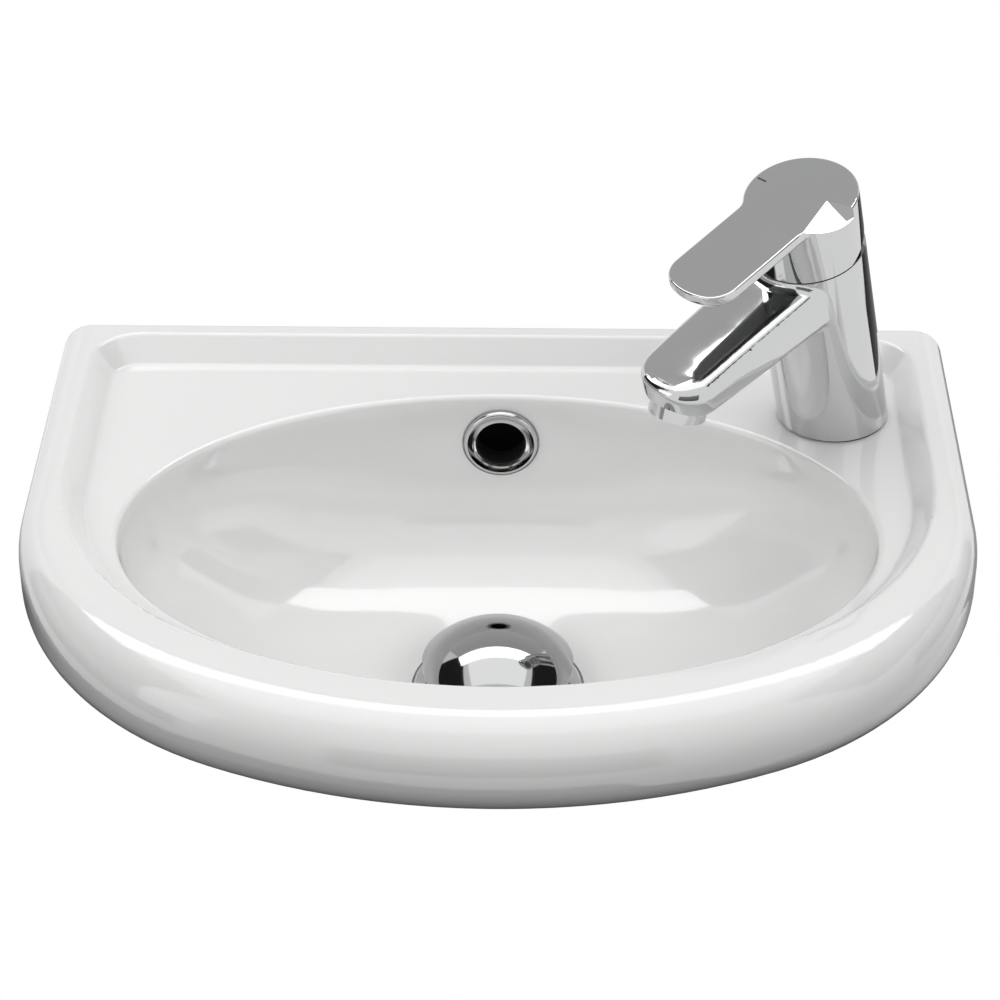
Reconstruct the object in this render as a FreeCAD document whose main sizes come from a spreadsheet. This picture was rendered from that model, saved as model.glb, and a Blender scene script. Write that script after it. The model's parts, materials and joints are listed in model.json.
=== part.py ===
import FreeCAD, Part
import math
import os
import Sketcher
from FreeCAD import Placement, Rotation, Vector

# Wall-hung hand basin with a click waste, an overflow ring and a single-lever mixer.
# Millimetres. The origin lies on the wall, midway between the two fixing holes.
# +X runs to the right, +Z up, and the basin reaches out from the wall towards -Y.

SIZES = {
    # basin outline and rim
    "basin_width": 360.0,
    "basin_depth": 268.0,
    "corner_radius": 134.0,
    "front_radius": 245.0,
    "rim_height": 34.4,
    "side_roll_radius": 12.5,
    "front_roll_radius": 22.0,
    "under_roll_radius": 12.0,
    "fixing_drop": 62.0,
    "fixing_spacing": 200.0,
    "fixing_hole_diameter": 14.0,
    # sunk deck inside the rim
    "deck_drop": 10.0,
    "deck_thickness": 13.0,
    "rim_band_side": 14.5,
    "rim_band_front": 32.5,
    "rim_band_back": 6.0,
    "deck_slope_run": 8.0,
    "deck_corner_radius": 19.0,
    "shoulder_fillet": 3.0,
    "foot_fillet": 2.5,
    # bowl
    "bowl_land": 4.2,
    "bowl_back": 36.5,
    "bowl_front_land": 5.0,
    "bowl_depth": 78.0,
    "bowl_floor_radius": 36.0,
    "bowl_edge_fillet": 2.4,
    "waste_behind": 4.5,
    # body under the rim
    "boss_thickness": 15.5,
    "under_start_drop": 20.0,
    "under_ledge": 5.0,
    "under_front_margin": 20.0,
    "bowl_wall": 11.0,
    "boss_radius": 46.0,
    "back_wall": 14.0,
    "back_plate_side_margin": 40.0,
    "back_plate_foot_margin": 58.0,
    "back_plate_drop": 90.0,
    "back_plate_corner": 18.0,
    "pocket_inner": 62.0,
    "pocket_side_margin": 24.0,
    "pocket_front": 96.0,
    "pocket_corner": 8.0,
    "spine_width": 50.0,
    "spine_floor": 10.0,
    # overflow
    "overflow_drop": 31.0,
    "overflow_hole_diameter": 24.0,
    "overflow_ring_diameter": 30.0,
    "overflow_ring_thickness": 3.2,
    "overflow_ring_mouth_diameter": 20.6,
    "overflow_step_diameter": 23.0,
    "overflow_step_depth": 0.7,
    "overflow_round": 1.6,
    "overflow_collar_wall": 0.8,
    "overflow_collar_length": 5.0,
    "overflow_lip": 1.4,
    "overflow_sleeve_wall": 1.2,
    "overflow_sleeve_length": 9.0,
    "overflow_spot_margin": 0.6,
    "duct_width": 28.0,
    "duct_depth": 13.0,
    "duct_top_drop": 17.0,
    "duct_fall": 12.0,
    "duct_mouth_gap": 3.0,
    "duct_mouth_height": 7.0,
    "duct_mouth_reach": 10.0,
    # waste
    "waste_tail_diameter": 41.8,
    "waste_bore_diameter": 35.6,
    "waste_hole_diameter": 46.0,
    "waste_flange_diameter": 66.0,
    "waste_flange_thickness": 3.0,
    "waste_flange_rim": 4.0,
    "waste_flange_round": 1.2,
    "waste_dish_depth": 1.8,
    "waste_dish_diameter": 38.0,
    "waste_throat_depth": 3.2,
    "waste_length": 42.0,
    "waste_sink": 3.0,
    "waste_seat_margin": 1.0,
    "waste_seal_thickness": 1.5,
    "waste_slot_width": 12.0,
    "waste_slot_height": 9.0,
    "waste_slot_drop": 5.5,
    "spider_drop": 15.0,
    "spider_height": 5.0,
    "spider_rib": 3.2,
    "spider_hub_diameter": 22.0,
    "washer_thickness": 3.0,
    "washer_diameter": 64.0,
    "backnut_height": 7.5,
    "backnut_corner_diameter": 58.0,
    "groove_gap": 1.0,
    "groove_width": 2.0,
    "groove_depth": 0.8,
    # click plug
    "dome_diameter": 59.0,
    "dome_height": 13.0,
    "dome_wall": 2.4,
    "dome_lip": 2.6,
    "dome_boss_diameter": 12.0,
    "dome_boss_drop": 3.0,
    "dome_socket_depth": 6.0,
    "seal_rib_diameter": 45.0,
    "seal_rib_wall": 3.0,
    "seal_width": 3.2,
    "seal_height": 3.0,
    "seal_drop": 0.6,
    "plug_lift": 9.0,
    "stem_diameter": 6.0,
    "stem_collar_diameter": 10.6,
    "stem_collar_height": 2.5,
    "stem_tail_diameter": 4.6,
    "stem_tail_length": 6.0,
    "click_body_diameter": 14.0,
    "click_bore_diameter": 11.0,
    "click_flange_diameter": 18.0,
    "click_flange_height": 2.5,
    "click_guide_height": 5.0,
    "click_body_length": 24.0,
    "click_cap_height": 3.0,
    "spring_wire_diameter": 1.0,
    "spring_coil_diameter": 8.4,
    # tap column and spout
    "tap_side_margin": 48.0,
    "tap_back": 46.0,
    "tap_hole_diameter": 35.0,
    "tap_diameter": 43.5,
    "tap_lean_angle": 14.5,
    "tap_turn_angle": 225.0,
    "tap_joint_height": 88.0,
    "gasket_thickness": 1.0,
    "gasket_width": 3.2,
    "gasket_inset": 0.5,
    "spout_reach": 86.5,
    "spout_root_inset": 3.25,
    "spout_tip_width": 32.0,
    "spout_root_drop": 2.0,
    "spout_tip_drop": 6.0,
    "spout_root_depth": 22.5,
    "spout_tip_depth": 13.0,
    "spout_root_shoulder": 7.0,
    "spout_tip_shoulder": 5.0,
    "spout_end_shoulder": 2.6,
    "spout_root_belly": 9.0,
    "spout_tip_belly": 5.5,
    "spout_end_belly": 3.2,
    "spout_tip_corner": 13.0,
    "spout_tip_nose": 26.0,
    "spout_blend": 4.0,
    "spout_duct_diameter": 9.0,
    "spout_duct_drop": 18.0,
    # aerator
    "aerator_tilt_angle": 29.0,
    "aerator_setback": 9.9,
    "aerator_sink": 0.8,
    "aerator_diameter": 22.0,
    "aerator_skirt": 5.0,
    "aerator_boss_diameter": 24.5,
    "aerator_boss_height": 6.0,
    "aerator_thread_diameter": 16.4,
    "aerator_thread_length": 4.4,
    "aerator_bore_diameter": 13.6,
    "aerator_lip": 0.9,
    "aerator_lip_diameter": 18.0,
    "aerator_chamber_diameter": 19.4,
    "aerator_shelf": 0.9,
    "aerator_insert_top": 3.6,
    "aerator_washer_thickness": 1.0,
    "aerator_washer_bore": 11.0,
    "aerator_cell": 2.6,
    "aerator_web": 0.8,
    "aerator_cell_depth": 2.0,
    # tap inlets and fixing under the deck
    "inlet_diameter": 8.6,
    "inlet_depth": 14.0,
    "inlet_spacing": 16.0,
    "inlet_forward": 4.0,
    "inlet_passage_diameter": 6.0,
    "inlet_overlap": 1.5,
    "stud_diameter": 8.0,
    "stud_back": 10.0,
    "stud_depth": 13.0,
    "stud_length": 66.0,
    "horseshoe_diameter": 44.0,
    "horseshoe_gap": 27.0,
    "horseshoe_gap_start": 4.5,
    "horseshoe_end": 6.0,
    "horseshoe_rubber": 2.5,
    "horseshoe_steel": 2.0,
    "fixing_nut_height": 10.0,
    "fixing_nut_corner_diameter": 15.0,
    # mixing cartridge, heights counted from the joint between column and lever
    "cartridge_diameter": 29.0,
    "cartridge_depth": 27.0,
    "cartridge_shoulder": 4.5,
    "cartridge_chamber_diameter": 25.0,
    "cartridge_chamber_top": 6.0,
    "cartridge_neck_diameter": 23.0,
    "cartridge_neck_height": 5.0,
    "cartridge_window_width": 12.0,
    "cartridge_window_height": 7.0,
    "cartridge_foot": 1.2,
    "port_diameter": 5.0,
    "port_spacing": 13.0,
    "port_back": 3.0,
    "outlet_port_diameter": 7.0,
    "outlet_port_forward": 6.0,
    "base_thickness": 4.55,
    "seal_ring_wall": 1.2,
    "fixed_disc_thickness": 4.0,
    "moving_disc_diameter": 16.0,
    "moving_disc_thickness": 3.4,
    "carrier_thickness": 5.0,
    "carrier_recess_diameter": 11.0,
    "carrier_recess_depth": 1.6,
    "rotor_neck_diameter": 18.0,
    "rotor_flange_diameter": 24.4,
    "rotor_flange_height": 2.0,
    "rotor_slot_length": 13.6,
    "pivot_height": 1.0,
    "pin_diameter": 3.0,
    "pin_length": 16.6,
    "spindle_width": 8.0,
    "spindle_top": 18.0,
    "spindle_hub_diameter": 7.4,
    "arm_diameter": 4.0,
    "ball_diameter": 5.6,
    "ball_clearance": 0.25,
    "nut_diameter": 32.4,
    "nut_recess": 0.6,
    "nut_slot_width": 4.0,
    "nut_slot_depth": 2.0,
    "cover_radius": 17.8,
    "cover_wall": 1.3,
    "cover_height": 9.0,
    # lever
    "lever_gap": 0.6,
    "lever_top": 25.5,
    "lever_wall": 2.4,
    "lever_ceiling": 6.0,
    "lever_reach": 64.5,
    "lever_width": 30.0,
    "lever_thickness": 5.2,
    "lever_tip_corner": 11.0,
    "lever_tip_nose": 24.0,
    "lever_edge_fillet": 0.8,
    "lever_under_fillet": 2.4,
    "lever_relief_angle": 22.5,
    "lever_boss_diameter": 15.0,
    "lever_boss_length": 8.0,
    "lever_neck_fillet": 7.0,
    "lever_facet_side": 10.6,
    "lever_facet_back": 2.5,
    "lever_facet_angle": 24.0,
    "lever_facet_spread_angle": 13.0,
    "grub_diameter": 5.0,
    "grub_length": 6.5,
    "grub_height": 14.5,
    "plug_diameter": 5.4,
    "plug_thickness": 2.0,
    "index_length": 4.2,
    "index_width": 0.8,
    "index_depth": 0.8,
    "index_out": 18.0,
    "index_forward": 1.4,
    # clearances
    "fit_clearance": 0.1,
    "running_clearance": 0.05,
    "sliding_clearance": 0.3,
    "overrun": 20.0,
}

# Sections of the bowl and of the body under it, from top to bottom, as shares.
# A depth share of 0 is the deck or the start under the rim, and 1 the floor. The bowl's first section
# lies above the deck. A width, back or front share of 0 is the round floor.
BOWL_DEPTH_SHARES = (-0.08, 0.0, 0.22, 0.47, 0.73, 0.92, 1.0)
BOWL_WIDTH_SHARES = (1.008, 1.0, 0.965, 0.825, 0.605, 0.28, 0.0)
BOWL_BACK_SHARES = (1.003, 1.0, 0.99, 0.96, 0.82, 0.44, 0.0)
BOWL_FRONT_SHARES = (1.012, 1.0, 0.96, 0.85, 0.62, 0.23, 0.0)
UNDER_DEPTH_SHARES = (0.0, 0.165, 0.35, 0.56, 0.78, 1.0)
UNDER_WIDTH_SHARES = (1.0, 0.974, 0.817, 0.55, 0.24, 0.0)
UNDER_BACK_SHARES = (1.0, 0.99, 0.916, 0.68, 0.32, 0.0)
UNDER_FRONT_SHARES = (0.73, 1.0, 0.83, 0.5, 0.2, 0.0)

# Directions for sketches that stand upright, and for cylinders that lie along an axis.
SIDE_VIEW = Rotation(Vector(0, 1, 0), Vector(0, 0, 1), Vector(1, 0, 0), "XYZ")
FRONT_VIEW = Rotation(Vector(1, 0, 0), Vector(0, 0, 1), Vector(0, -1, 0), "XYZ")
ALONG_X = Rotation(Vector(0, 1, 0), 90)
ALONG_Y = Rotation(Vector(1, 0, 0), -90)
TOWARDS_FRONT = Rotation(Vector(1, 0, 0), 90)

SLOT_COUNT = 4
RIB_COUNT = 3
HEX_SIDES = 6
CELL_ROWS = 2
OVAL_STEPS = 90


class Dim:
    """A length worked out from the sheet: its value and the expression that gives it."""

    def __init__(self, value, text):
        self.value = value
        self.text = text

    def __float__(self):
        return float(self.value)

    def __add__(self, other):
        return Dim(self.value + float(other), f"({self.text} + {text_of(other)})")

    def __sub__(self, other):
        return Dim(self.value - float(other), f"({self.text} - {text_of(other)})")

    def __mul__(self, other):
        return Dim(self.value * float(other), f"({self.text} * {text_of(other)})")

    def __truediv__(self, other):
        return Dim(self.value / float(other), f"({self.text} / {text_of(other)})")

    def __neg__(self):
        return Dim(-self.value, f"(0 - {self.text})")


def text_of(number):
    return number.text if isinstance(number, Dim) else repr(float(number))


class Names:
    """The sheet's sizes as attributes."""


doc = FreeCAD.newDocument("HandBasin")
sheet = doc.addObject("Spreadsheet::Sheet", "Sizes")
d = Names()
for row, (alias, number) in enumerate(SIZES.items(), start=1):
    sheet.set(f"A{row}", alias)
    sheet.set(f"B{row}", str(number))
    sheet.setAlias(f"B{row}", alias)
    setattr(d, alias, Dim(number, f"Sizes.{alias}"))
doc.recompute()

parts = {}


def bind(obj, **sizes):
    """Sets the object's sizes and ties those that come from the sheet to their cells."""
    for name, size in sizes.items():
        setattr(obj, name, float(size))
        if isinstance(size, Dim):
            obj.setExpression(name, size.text)


def place(obj, x=0, y=0, z=0, rotation=None):
    obj.Placement = Placement(Vector(float(x), float(y), float(z)), rotation or Rotation())
    for axis, size in zip("xyz", (x, y, z)):
        if isinstance(size, Dim):
            obj.setExpression(f"Placement.Base.{axis}", size.text)
    return obj


def node(label, obj, frame=None):
    """Keeps an object as a finished sub-part, moved into the frame that carries it."""
    obj.Label = label
    if frame is not None:
        obj.Placement = frame.multiply(obj.Placement)
    parts[label] = obj
    return obj


def box(name, x_size, y_size, z_size, x=0, y=0, z=0, rotation=None):
    made = doc.addObject("Part::Box", name)
    bind(made, Length=x_size, Width=y_size, Height=z_size)
    return place(made, x, y, z, rotation)


def cylinder(name, diameter, height, x=0, y=0, z=0, rotation=None):
    made = doc.addObject("Part::Cylinder", name)
    bind(made, Radius=diameter / 2, Height=height)
    return place(made, x, y, z, rotation)


def sphere(name, diameter, x=0, y=0, z=0):
    made = doc.addObject("Part::Sphere", name)
    bind(made, Radius=diameter / 2)
    return place(made, x, y, z)


def prism(name, corner_diameter, height, x=0, y=0, z=0):
    made = doc.addObject("Part::Prism", name)
    made.Polygon = HEX_SIDES
    bind(made, Circumradius=corner_diameter / 2, Height=height)
    return place(made, x, y, z)


def fuse(name, *shapes):
    made = doc.addObject("Part::MultiFuse", name)
    made.Shapes = list(shapes)
    made.Refine = True
    return made


def cut(name, base, *tools):
    made = doc.addObject("Part::Cut", name)
    made.Base = base
    made.Tool = tools[0] if len(tools) == 1 else fuse(f"{name}_tools", *tools)
    made.Refine = True
    return made


def common(name, base, tool):
    made = doc.addObject("Part::Common", name)
    made.Base = base
    made.Tool = tool
    made.Refine = True
    return made


def fillet(name, base, radius_at, chosen):
    """Rounds the edges that chosen accepts; radius_at gives the radius at each end."""
    doc.recompute()
    made = doc.addObject("Part::Fillet", name)
    made.Base = base
    edges = []
    for number, edge in enumerate(base.Shape.Edges, start=1):
        if chosen(edge):
            ends = [edge.valueAt(edge.FirstParameter), edge.valueAt(edge.LastParameter)]
            if edge.Orientation == "Reversed":
                ends.reverse()
            edges.append((number, float(radius_at(ends[0])), float(radius_at(ends[1]))))
    if not edges:
        raise RuntimeError(f"{name}: no edge to round")
    made.Edges = edges
    return made


def edge_span(edge, axis):
    """The lowest and highest coordinate of an edge along one axis."""
    limits = edge.BoundBox
    low = {"x": limits.XMin, "y": limits.YMin, "z": limits.ZMin}[axis]
    high = {"x": limits.XMax, "y": limits.YMax, "z": limits.ZMax}[axis]
    return low, high


def lies_at(edge, axis, level):
    low, high = edge_span(edge, axis)
    near = float(d.running_clearance)
    return abs(low - float(level)) < near and abs(high - float(level)) < near


def new_sketch(name, body=None):
    if body is None:
        return doc.addObject("Sketcher::SketchObject", name)
    sketch = body.newObject("Sketcher::SketchObject", name)
    plane = [o for o in body.Origin.OriginFeatures if o.Role == "XZ_Plane"][0]
    sketch.AttachmentSupport = [(plane, "")]
    sketch.MapMode = "FlatFace"
    return sketch


def hold(sketch, kind, size, *places):
    """Adds a dimension to the sketch and ties it to the sheet."""
    number = sketch.addConstraint(Sketcher.Constraint(kind, *places, float(size)))
    if isinstance(size, Dim):
        sketch.setExpression(f"Constraints[{number}]", size.text)


def hold_point(sketch, index, end, x, y):
    for kind, size in (("DistanceX", x), ("DistanceY", y)):
        if isinstance(size, Dim):
            hold(sketch, kind, size, -1, 1, index, end)
        else:
            axis = -2 if kind == "DistanceX" else -1
            sketch.addConstraint(Sketcher.Constraint("PointOnObject", index, end, axis))


def polygon(sketch, points):
    """A closed outline of straight lines through the points."""
    corners = [Vector(float(x), float(y), 0) for x, y in points]
    count = len(corners)
    for i in range(count):
        sketch.addGeometry(Part.LineSegment(corners[i], corners[(i + 1) % count]))
    for i in range(count):
        sketch.addConstraint(Sketcher.Constraint("Coincident", i, 2, (i + 1) % count, 1))
    for i, (x, y) in enumerate(points):
        hold_point(sketch, i, 1, x, y)


def arc(center_x, center_y, radius, start, end):
    circle = Part.Circle(Vector(float(center_x), float(center_y), 0), Vector(0, 0, 1), float(radius))
    return Part.ArcOfCircle(circle, start, end)


def tangent_chain(sketch, joints):
    for first, first_end, second, second_end in joints:
        sketch.addConstraint(Sketcher.Constraint("Tangent", first, first_end, second, second_end))


def d_outline(name, half_width, depth, corner, nose, back=0, back_corner=None):
    """A flat back, parallel sides, two round corners and a curved nose, all tangent."""
    sketch = new_sketch(name)
    reach = nose_reach(half_width, corner, nose)
    nose_y = nose - depth
    corner_x = float(half_width - corner)
    corner_y = float(nose_y) - reach
    slant = math.atan2(-reach, corner_x)
    wide = float(half_width)
    top = -float(back)
    right_arc = arc(corner_x, corner_y, corner, slant, 0)
    nose_arc = arc(0, nose_y, nose, -math.pi - slant, slant)
    left_arc = arc(-corner_x, corner_y, corner, math.pi, math.pi - slant)
    if back_corner is None:
        sketch.addGeometry(Part.LineSegment(Vector(-wide, top, 0), Vector(wide, top, 0)))
        sketch.addGeometry(Part.LineSegment(Vector(wide, top, 0), Vector(wide, corner_y, 0)))
        sketch.addGeometry(right_arc)
        sketch.addGeometry(nose_arc)
        sketch.addGeometry(left_arc)
        sketch.addGeometry(Part.LineSegment(Vector(-wide, corner_y, 0), Vector(-wide, top, 0)))
        right_line, right, front, left, left_line = 1, 2, 3, 4, 5
        for first, second in ((0, right_line), (left_line, 0)):
            sketch.addConstraint(Sketcher.Constraint("Coincident", first, 2, second, 1))
        tangent_chain(sketch, ((1, 2, 2, 2), (2, 1, 3, 2), (3, 1, 4, 2), (4, 1, 5, 1)))
    else:
        bend = float(back_corner)
        low = top - bend
        sketch.addGeometry(Part.LineSegment(Vector(bend - wide, top, 0), Vector(wide - bend, top, 0)))
        sketch.addGeometry(arc(wide - bend, low, bend, 0, math.pi / 2))
        sketch.addGeometry(Part.LineSegment(Vector(wide, low, 0), Vector(wide, corner_y, 0)))
        sketch.addGeometry(right_arc)
        sketch.addGeometry(nose_arc)
        sketch.addGeometry(left_arc)
        sketch.addGeometry(Part.LineSegment(Vector(-wide, corner_y, 0), Vector(-wide, low, 0)))
        sketch.addGeometry(arc(bend - wide, low, bend, math.pi / 2, math.pi))
        right_line, right, front, left, left_line = 2, 3, 4, 5, 6
        tangent_chain(sketch, ((0, 2, 1, 2), (1, 1, 2, 1), (2, 2, 3, 2), (3, 1, 4, 2),
                               (4, 1, 5, 2), (5, 1, 6, 1), (6, 2, 7, 2), (7, 1, 0, 1)))
        for index in (1, 7):
            hold(sketch, "Radius", back_corner, index)
    sketch.addConstraint(Sketcher.Constraint("Horizontal", 0))
    sketch.addConstraint(Sketcher.Constraint("Vertical", right_line))
    sketch.addConstraint(Sketcher.Constraint("Vertical", left_line))
    hold(sketch, "DistanceX", half_width, -1, 1, right_line, 1)
    hold(sketch, "DistanceX", -half_width, -1, 1, left_line, 1)
    if isinstance(back, Dim):
        hold(sketch, "DistanceY", -back, -1, 1, 0, 1)
    else:
        sketch.addConstraint(Sketcher.Constraint("PointOnObject", 0, 1, -1))
    for index, radius in ((right, corner), (left, corner), (front, nose)):
        hold(sketch, "Radius", radius, index)
    sketch.addConstraint(Sketcher.Constraint("PointOnObject", front, 3, -2))
    hold(sketch, "DistanceY", nose_y, -1, 1, front, 3)
    return sketch


def nose_reach(half_width, corner, nose):
    """How far the nose arc's centre lies behind the corner arcs' centres."""
    return math.sqrt((float(nose) - float(corner)) ** 2 - (float(half_width) - float(corner)) ** 2)


def tongue_outline(name, root_half_width, half_width, length, corner, nose):
    """A tongue with its root on the Y axis: tapering sides, round corners, a curved nose."""
    sketch = new_sketch(name)
    reach = nose_reach(half_width, corner, nose)
    nose_x = length - nose
    corner_x = float(nose_x) + reach
    corner_y = half_width - corner
    slant = math.atan2(float(corner_y), reach)
    wide = float(root_half_width)
    tip = float(half_width)
    sketch.addGeometry(Part.LineSegment(Vector(0, wide, 0), Vector(0, -wide, 0)))
    sketch.addGeometry(Part.LineSegment(Vector(0, -wide, 0), Vector(corner_x, -tip, 0)))
    sketch.addGeometry(arc(corner_x, -float(corner_y), corner, -math.pi / 2, -slant))
    sketch.addGeometry(arc(nose_x, 0, nose, -slant, slant))
    sketch.addGeometry(arc(corner_x, corner_y, corner, slant, math.pi / 2))
    sketch.addGeometry(Part.LineSegment(Vector(corner_x, tip, 0), Vector(0, wide, 0)))
    for first, second in ((0, 1), (5, 0)):
        sketch.addConstraint(Sketcher.Constraint("Coincident", first, 2, second, 1))
    tangent_chain(sketch, ((1, 2, 2, 1), (2, 2, 3, 1), (3, 2, 4, 1), (4, 2, 5, 1)))
    sketch.addConstraint(Sketcher.Constraint("PointOnObject", 0, 1, -2))
    sketch.addConstraint(Sketcher.Constraint("PointOnObject", 0, 2, -2))
    hold(sketch, "DistanceY", root_half_width, -1, 1, 0, 1)
    hold(sketch, "DistanceY", -root_half_width, -1, 1, 0, 2)
    hold(sketch, "DistanceY", -corner_y, -1, 1, 2, 3)
    hold(sketch, "DistanceY", corner_y, -1, 1, 4, 3)
    for index, radius in ((2, corner), (4, corner), (3, nose)):
        hold(sketch, "Radius", radius, index)
    sketch.addConstraint(Sketcher.Constraint("PointOnObject", 3, 3, -1))
    hold(sketch, "DistanceX", nose_x, -1, 1, 3, 3)
    return sketch


def keyhole_outline(name, head_radius, neck, half_width, length, corner, nose):
    """A round head that runs through two neck fillets into a parallel tongue."""
    sketch = new_sketch(name)
    reach = nose_reach(half_width, corner, nose)
    nose_x = length - nose
    corner_x = float(nose_x) + reach
    corner_y = float(half_width - corner)
    slant = math.atan2(corner_y, reach)
    neck_y = float(half_width + neck)
    neck_x = math.sqrt(float(head_radius + neck) ** 2 - neck_y ** 2)
    swing = math.atan2(neck_y, neck_x)
    wide = float(half_width)
    sketch.addGeometry(arc(0, 0, head_radius, swing, 2 * math.pi - swing))
    sketch.addGeometry(arc(neck_x, -neck_y, neck, math.pi / 2, math.pi - swing))
    sketch.addGeometry(Part.LineSegment(Vector(neck_x, -wide, 0), Vector(corner_x, -wide, 0)))
    sketch.addGeometry(arc(corner_x, -corner_y, corner, -math.pi / 2, -slant))
    sketch.addGeometry(arc(nose_x, 0, nose, -slant, slant))
    sketch.addGeometry(arc(corner_x, corner_y, corner, slant, math.pi / 2))
    sketch.addGeometry(Part.LineSegment(Vector(corner_x, wide, 0), Vector(neck_x, wide, 0)))
    sketch.addGeometry(arc(neck_x, neck_y, neck, math.pi + swing, 3 * math.pi / 2))
    tangent_chain(sketch, ((0, 2, 1, 2), (1, 1, 2, 1), (2, 2, 3, 1), (3, 2, 4, 1),
                           (4, 2, 5, 1), (5, 2, 6, 1), (6, 2, 7, 2), (7, 1, 0, 1)))
    sketch.addConstraint(Sketcher.Constraint("Coincident", 0, 3, -1, 1))
    for index, radius in ((0, head_radius), (1, neck), (7, neck), (3, corner), (5, corner), (4, nose)):
        hold(sketch, "Radius", radius, index)
    for index, side in ((2, -half_width), (6, half_width)):
        sketch.addConstraint(Sketcher.Constraint("Horizontal", index))
        hold(sketch, "DistanceY", side, -1, 1, index, 1)
    sketch.addConstraint(Sketcher.Constraint("PointOnObject", 4, 3, -1))
    hold(sketch, "DistanceX", nose_x, -1, 1, 4, 3)
    return sketch


def extrude(name, sketch, length, both_ways=False):
    made = doc.addObject("Part::Extrusion", name)
    made.Base = sketch
    made.DirMode = "Normal"
    made.Solid = True
    made.Symmetric = both_ways
    bind(made, LengthFwd=length)
    return made


def loft(name, sections, ruled=False):
    made = doc.addObject("Part::Loft", name)
    made.Sections = sections
    made.Solid = True
    made.Ruled = ruled
    return made


def turned(name, points):
    """A body turned about its own Z axis from an outline of (radius, height) points."""
    body = doc.addObject("PartDesign::Body", name)
    sketch = new_sketch(f"{name}_profile", body)
    polygon(sketch, points)
    revolution = body.newObject("PartDesign::Revolution", f"{name}_turned")
    revolution.Profile = sketch
    revolution.ReferenceAxis = (sketch, ["V_Axis"])
    revolution.Angle = 360
    return body


def soften(body, radius, levels):
    """Rounds the circles of a turned body that lie at the given (radius, height) corners."""
    doc.recompute()
    tip = body.Tip
    near = float(d.running_clearance)
    names = []
    for number, edge in enumerate(tip.Shape.Edges, start=1):
        for corner, level in levels:
            if lies_at(edge, "z", level) and abs(edge.BoundBox.XMax - float(corner)) < near:
                names.append(f"Edge{number}")
    made = body.newObject("PartDesign::Fillet", f"{body.Name}_soft")
    made.Base = (tip, names)
    bind(made, Radius=radius)
    return body


def ring(name, outer_diameter, inner_diameter, low, high):
    inner = inner_diameter / 2
    outer = outer_diameter / 2
    return turned(name, [(inner, low), (outer, low), (outer, high), (inner, high)])


def turn(obj, rotation):
    """Turns an object about the origin of the frame it is drawn in."""
    obj.Placement = Placement(Vector(), rotation).multiply(obj.Placement)
    return obj


def round_about(count, make):
    """Objects from make, set out evenly round the Z axis."""
    return [turn(make(), Rotation(Vector(0, 0, 1), 360 * i / count)) for i in range(count)]


def spoke(name, length, width, height, level):
    """A bar from the Z axis outwards along X."""
    return box(name, length, width, height, 0, -float(width) / 2, float(level))


def oval_stack(name, heights, centers, half_widths, half_depths):
    """A loft through level ellipses, down to a round floor."""
    sections = []
    floor = len(heights) - 1
    for i, height in enumerate(heights):
        if i < floor:
            oval = doc.addObject("Part::Ellipse", f"{name}_{i + 1}")
            bind(oval, MajorRadius=half_widths[i], MinorRadius=half_depths[i])
        else:
            oval = doc.addObject("Part::Circle", f"{name}_floor")
            bind(oval, Radius=half_widths[i])
        sections.append(place(oval, 0, centers[i], height))
    return loft(name, sections)


def widest_oval(back, front, outline, land):
    """Half the width of the widest oval that leaves the land free inside a D outline's round end."""
    wide, depth, corner, nose = (float(size) for size in outline)
    center = -float(front + back) / 2
    half_depth = float(front - back) / 2
    reach = nose_reach(wide, corner, nose)
    nose_y = nose - depth
    slant = math.atan2(reach, wide - corner)
    widest = wide - float(land)
    for step in range(OVAL_STEPS + 1):
        angle = math.pi / 2 * step / OVAL_STEPS
        if angle < slant:
            x, y, radius = wide - corner, nose_y - reach, corner
        else:
            x, y, radius = 0, nose_y, nose
        x += (radius - float(land)) * math.cos(angle)
        y -= (radius - float(land)) * math.sin(angle)
        off = (y - center) / half_depth
        if abs(off) < 1:
            widest = min(widest, x / math.sqrt(1 - off * off))
    return Dim(widest, repr(widest))


def oval_sections(half_width, floor_radius, back, front, shares):
    """Ellipse centres and half axes, from the round floor out to the widest outline."""
    width_shares, back_shares, front_shares = shares
    floor_back = waste_setback - floor_radius
    floor_front = waste_setback + floor_radius
    centers, half_widths, half_depths = [], [], []
    for width_share, back_share, front_share in zip(width_shares, back_shares, front_shares):
        half_widths.append(floor_radius + (half_width - floor_radius) * width_share)
        near = floor_back + (back - floor_back) * back_share
        far = floor_front + (front - floor_front) * front_share
        centers.append(-(near + far) / 2)
        half_depths.append((far - near) / 2)
    return centers, half_widths, half_depths


# Levels and widths that several pieces share.
rim_top = d.fixing_drop
deck_level = rim_top - d.deck_drop
deck_underside = deck_level - d.deck_thickness
rim_bottom = rim_top - d.rim_height
half_width = d.basin_width / 2
bowl_front = d.basin_depth - d.rim_band_front - d.deck_slope_run - d.bowl_front_land
waste_setback = (d.bowl_back + bowl_front) / 2 - d.waste_behind
waste_y = -waste_setback
waste_seat = deck_level - d.bowl_depth - d.waste_sink
boss_bottom = waste_seat - d.boss_thickness
basin_height = rim_top - boss_bottom
flange_bottom = waste_seat + d.waste_seal_thickness
flange_top = flange_bottom + d.waste_flange_thickness
overflow_level = rim_top - d.overflow_drop
overflow_seat = d.bowl_back
tap_x = half_width - d.tap_side_margin
tap_y = -d.tap_back

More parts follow.
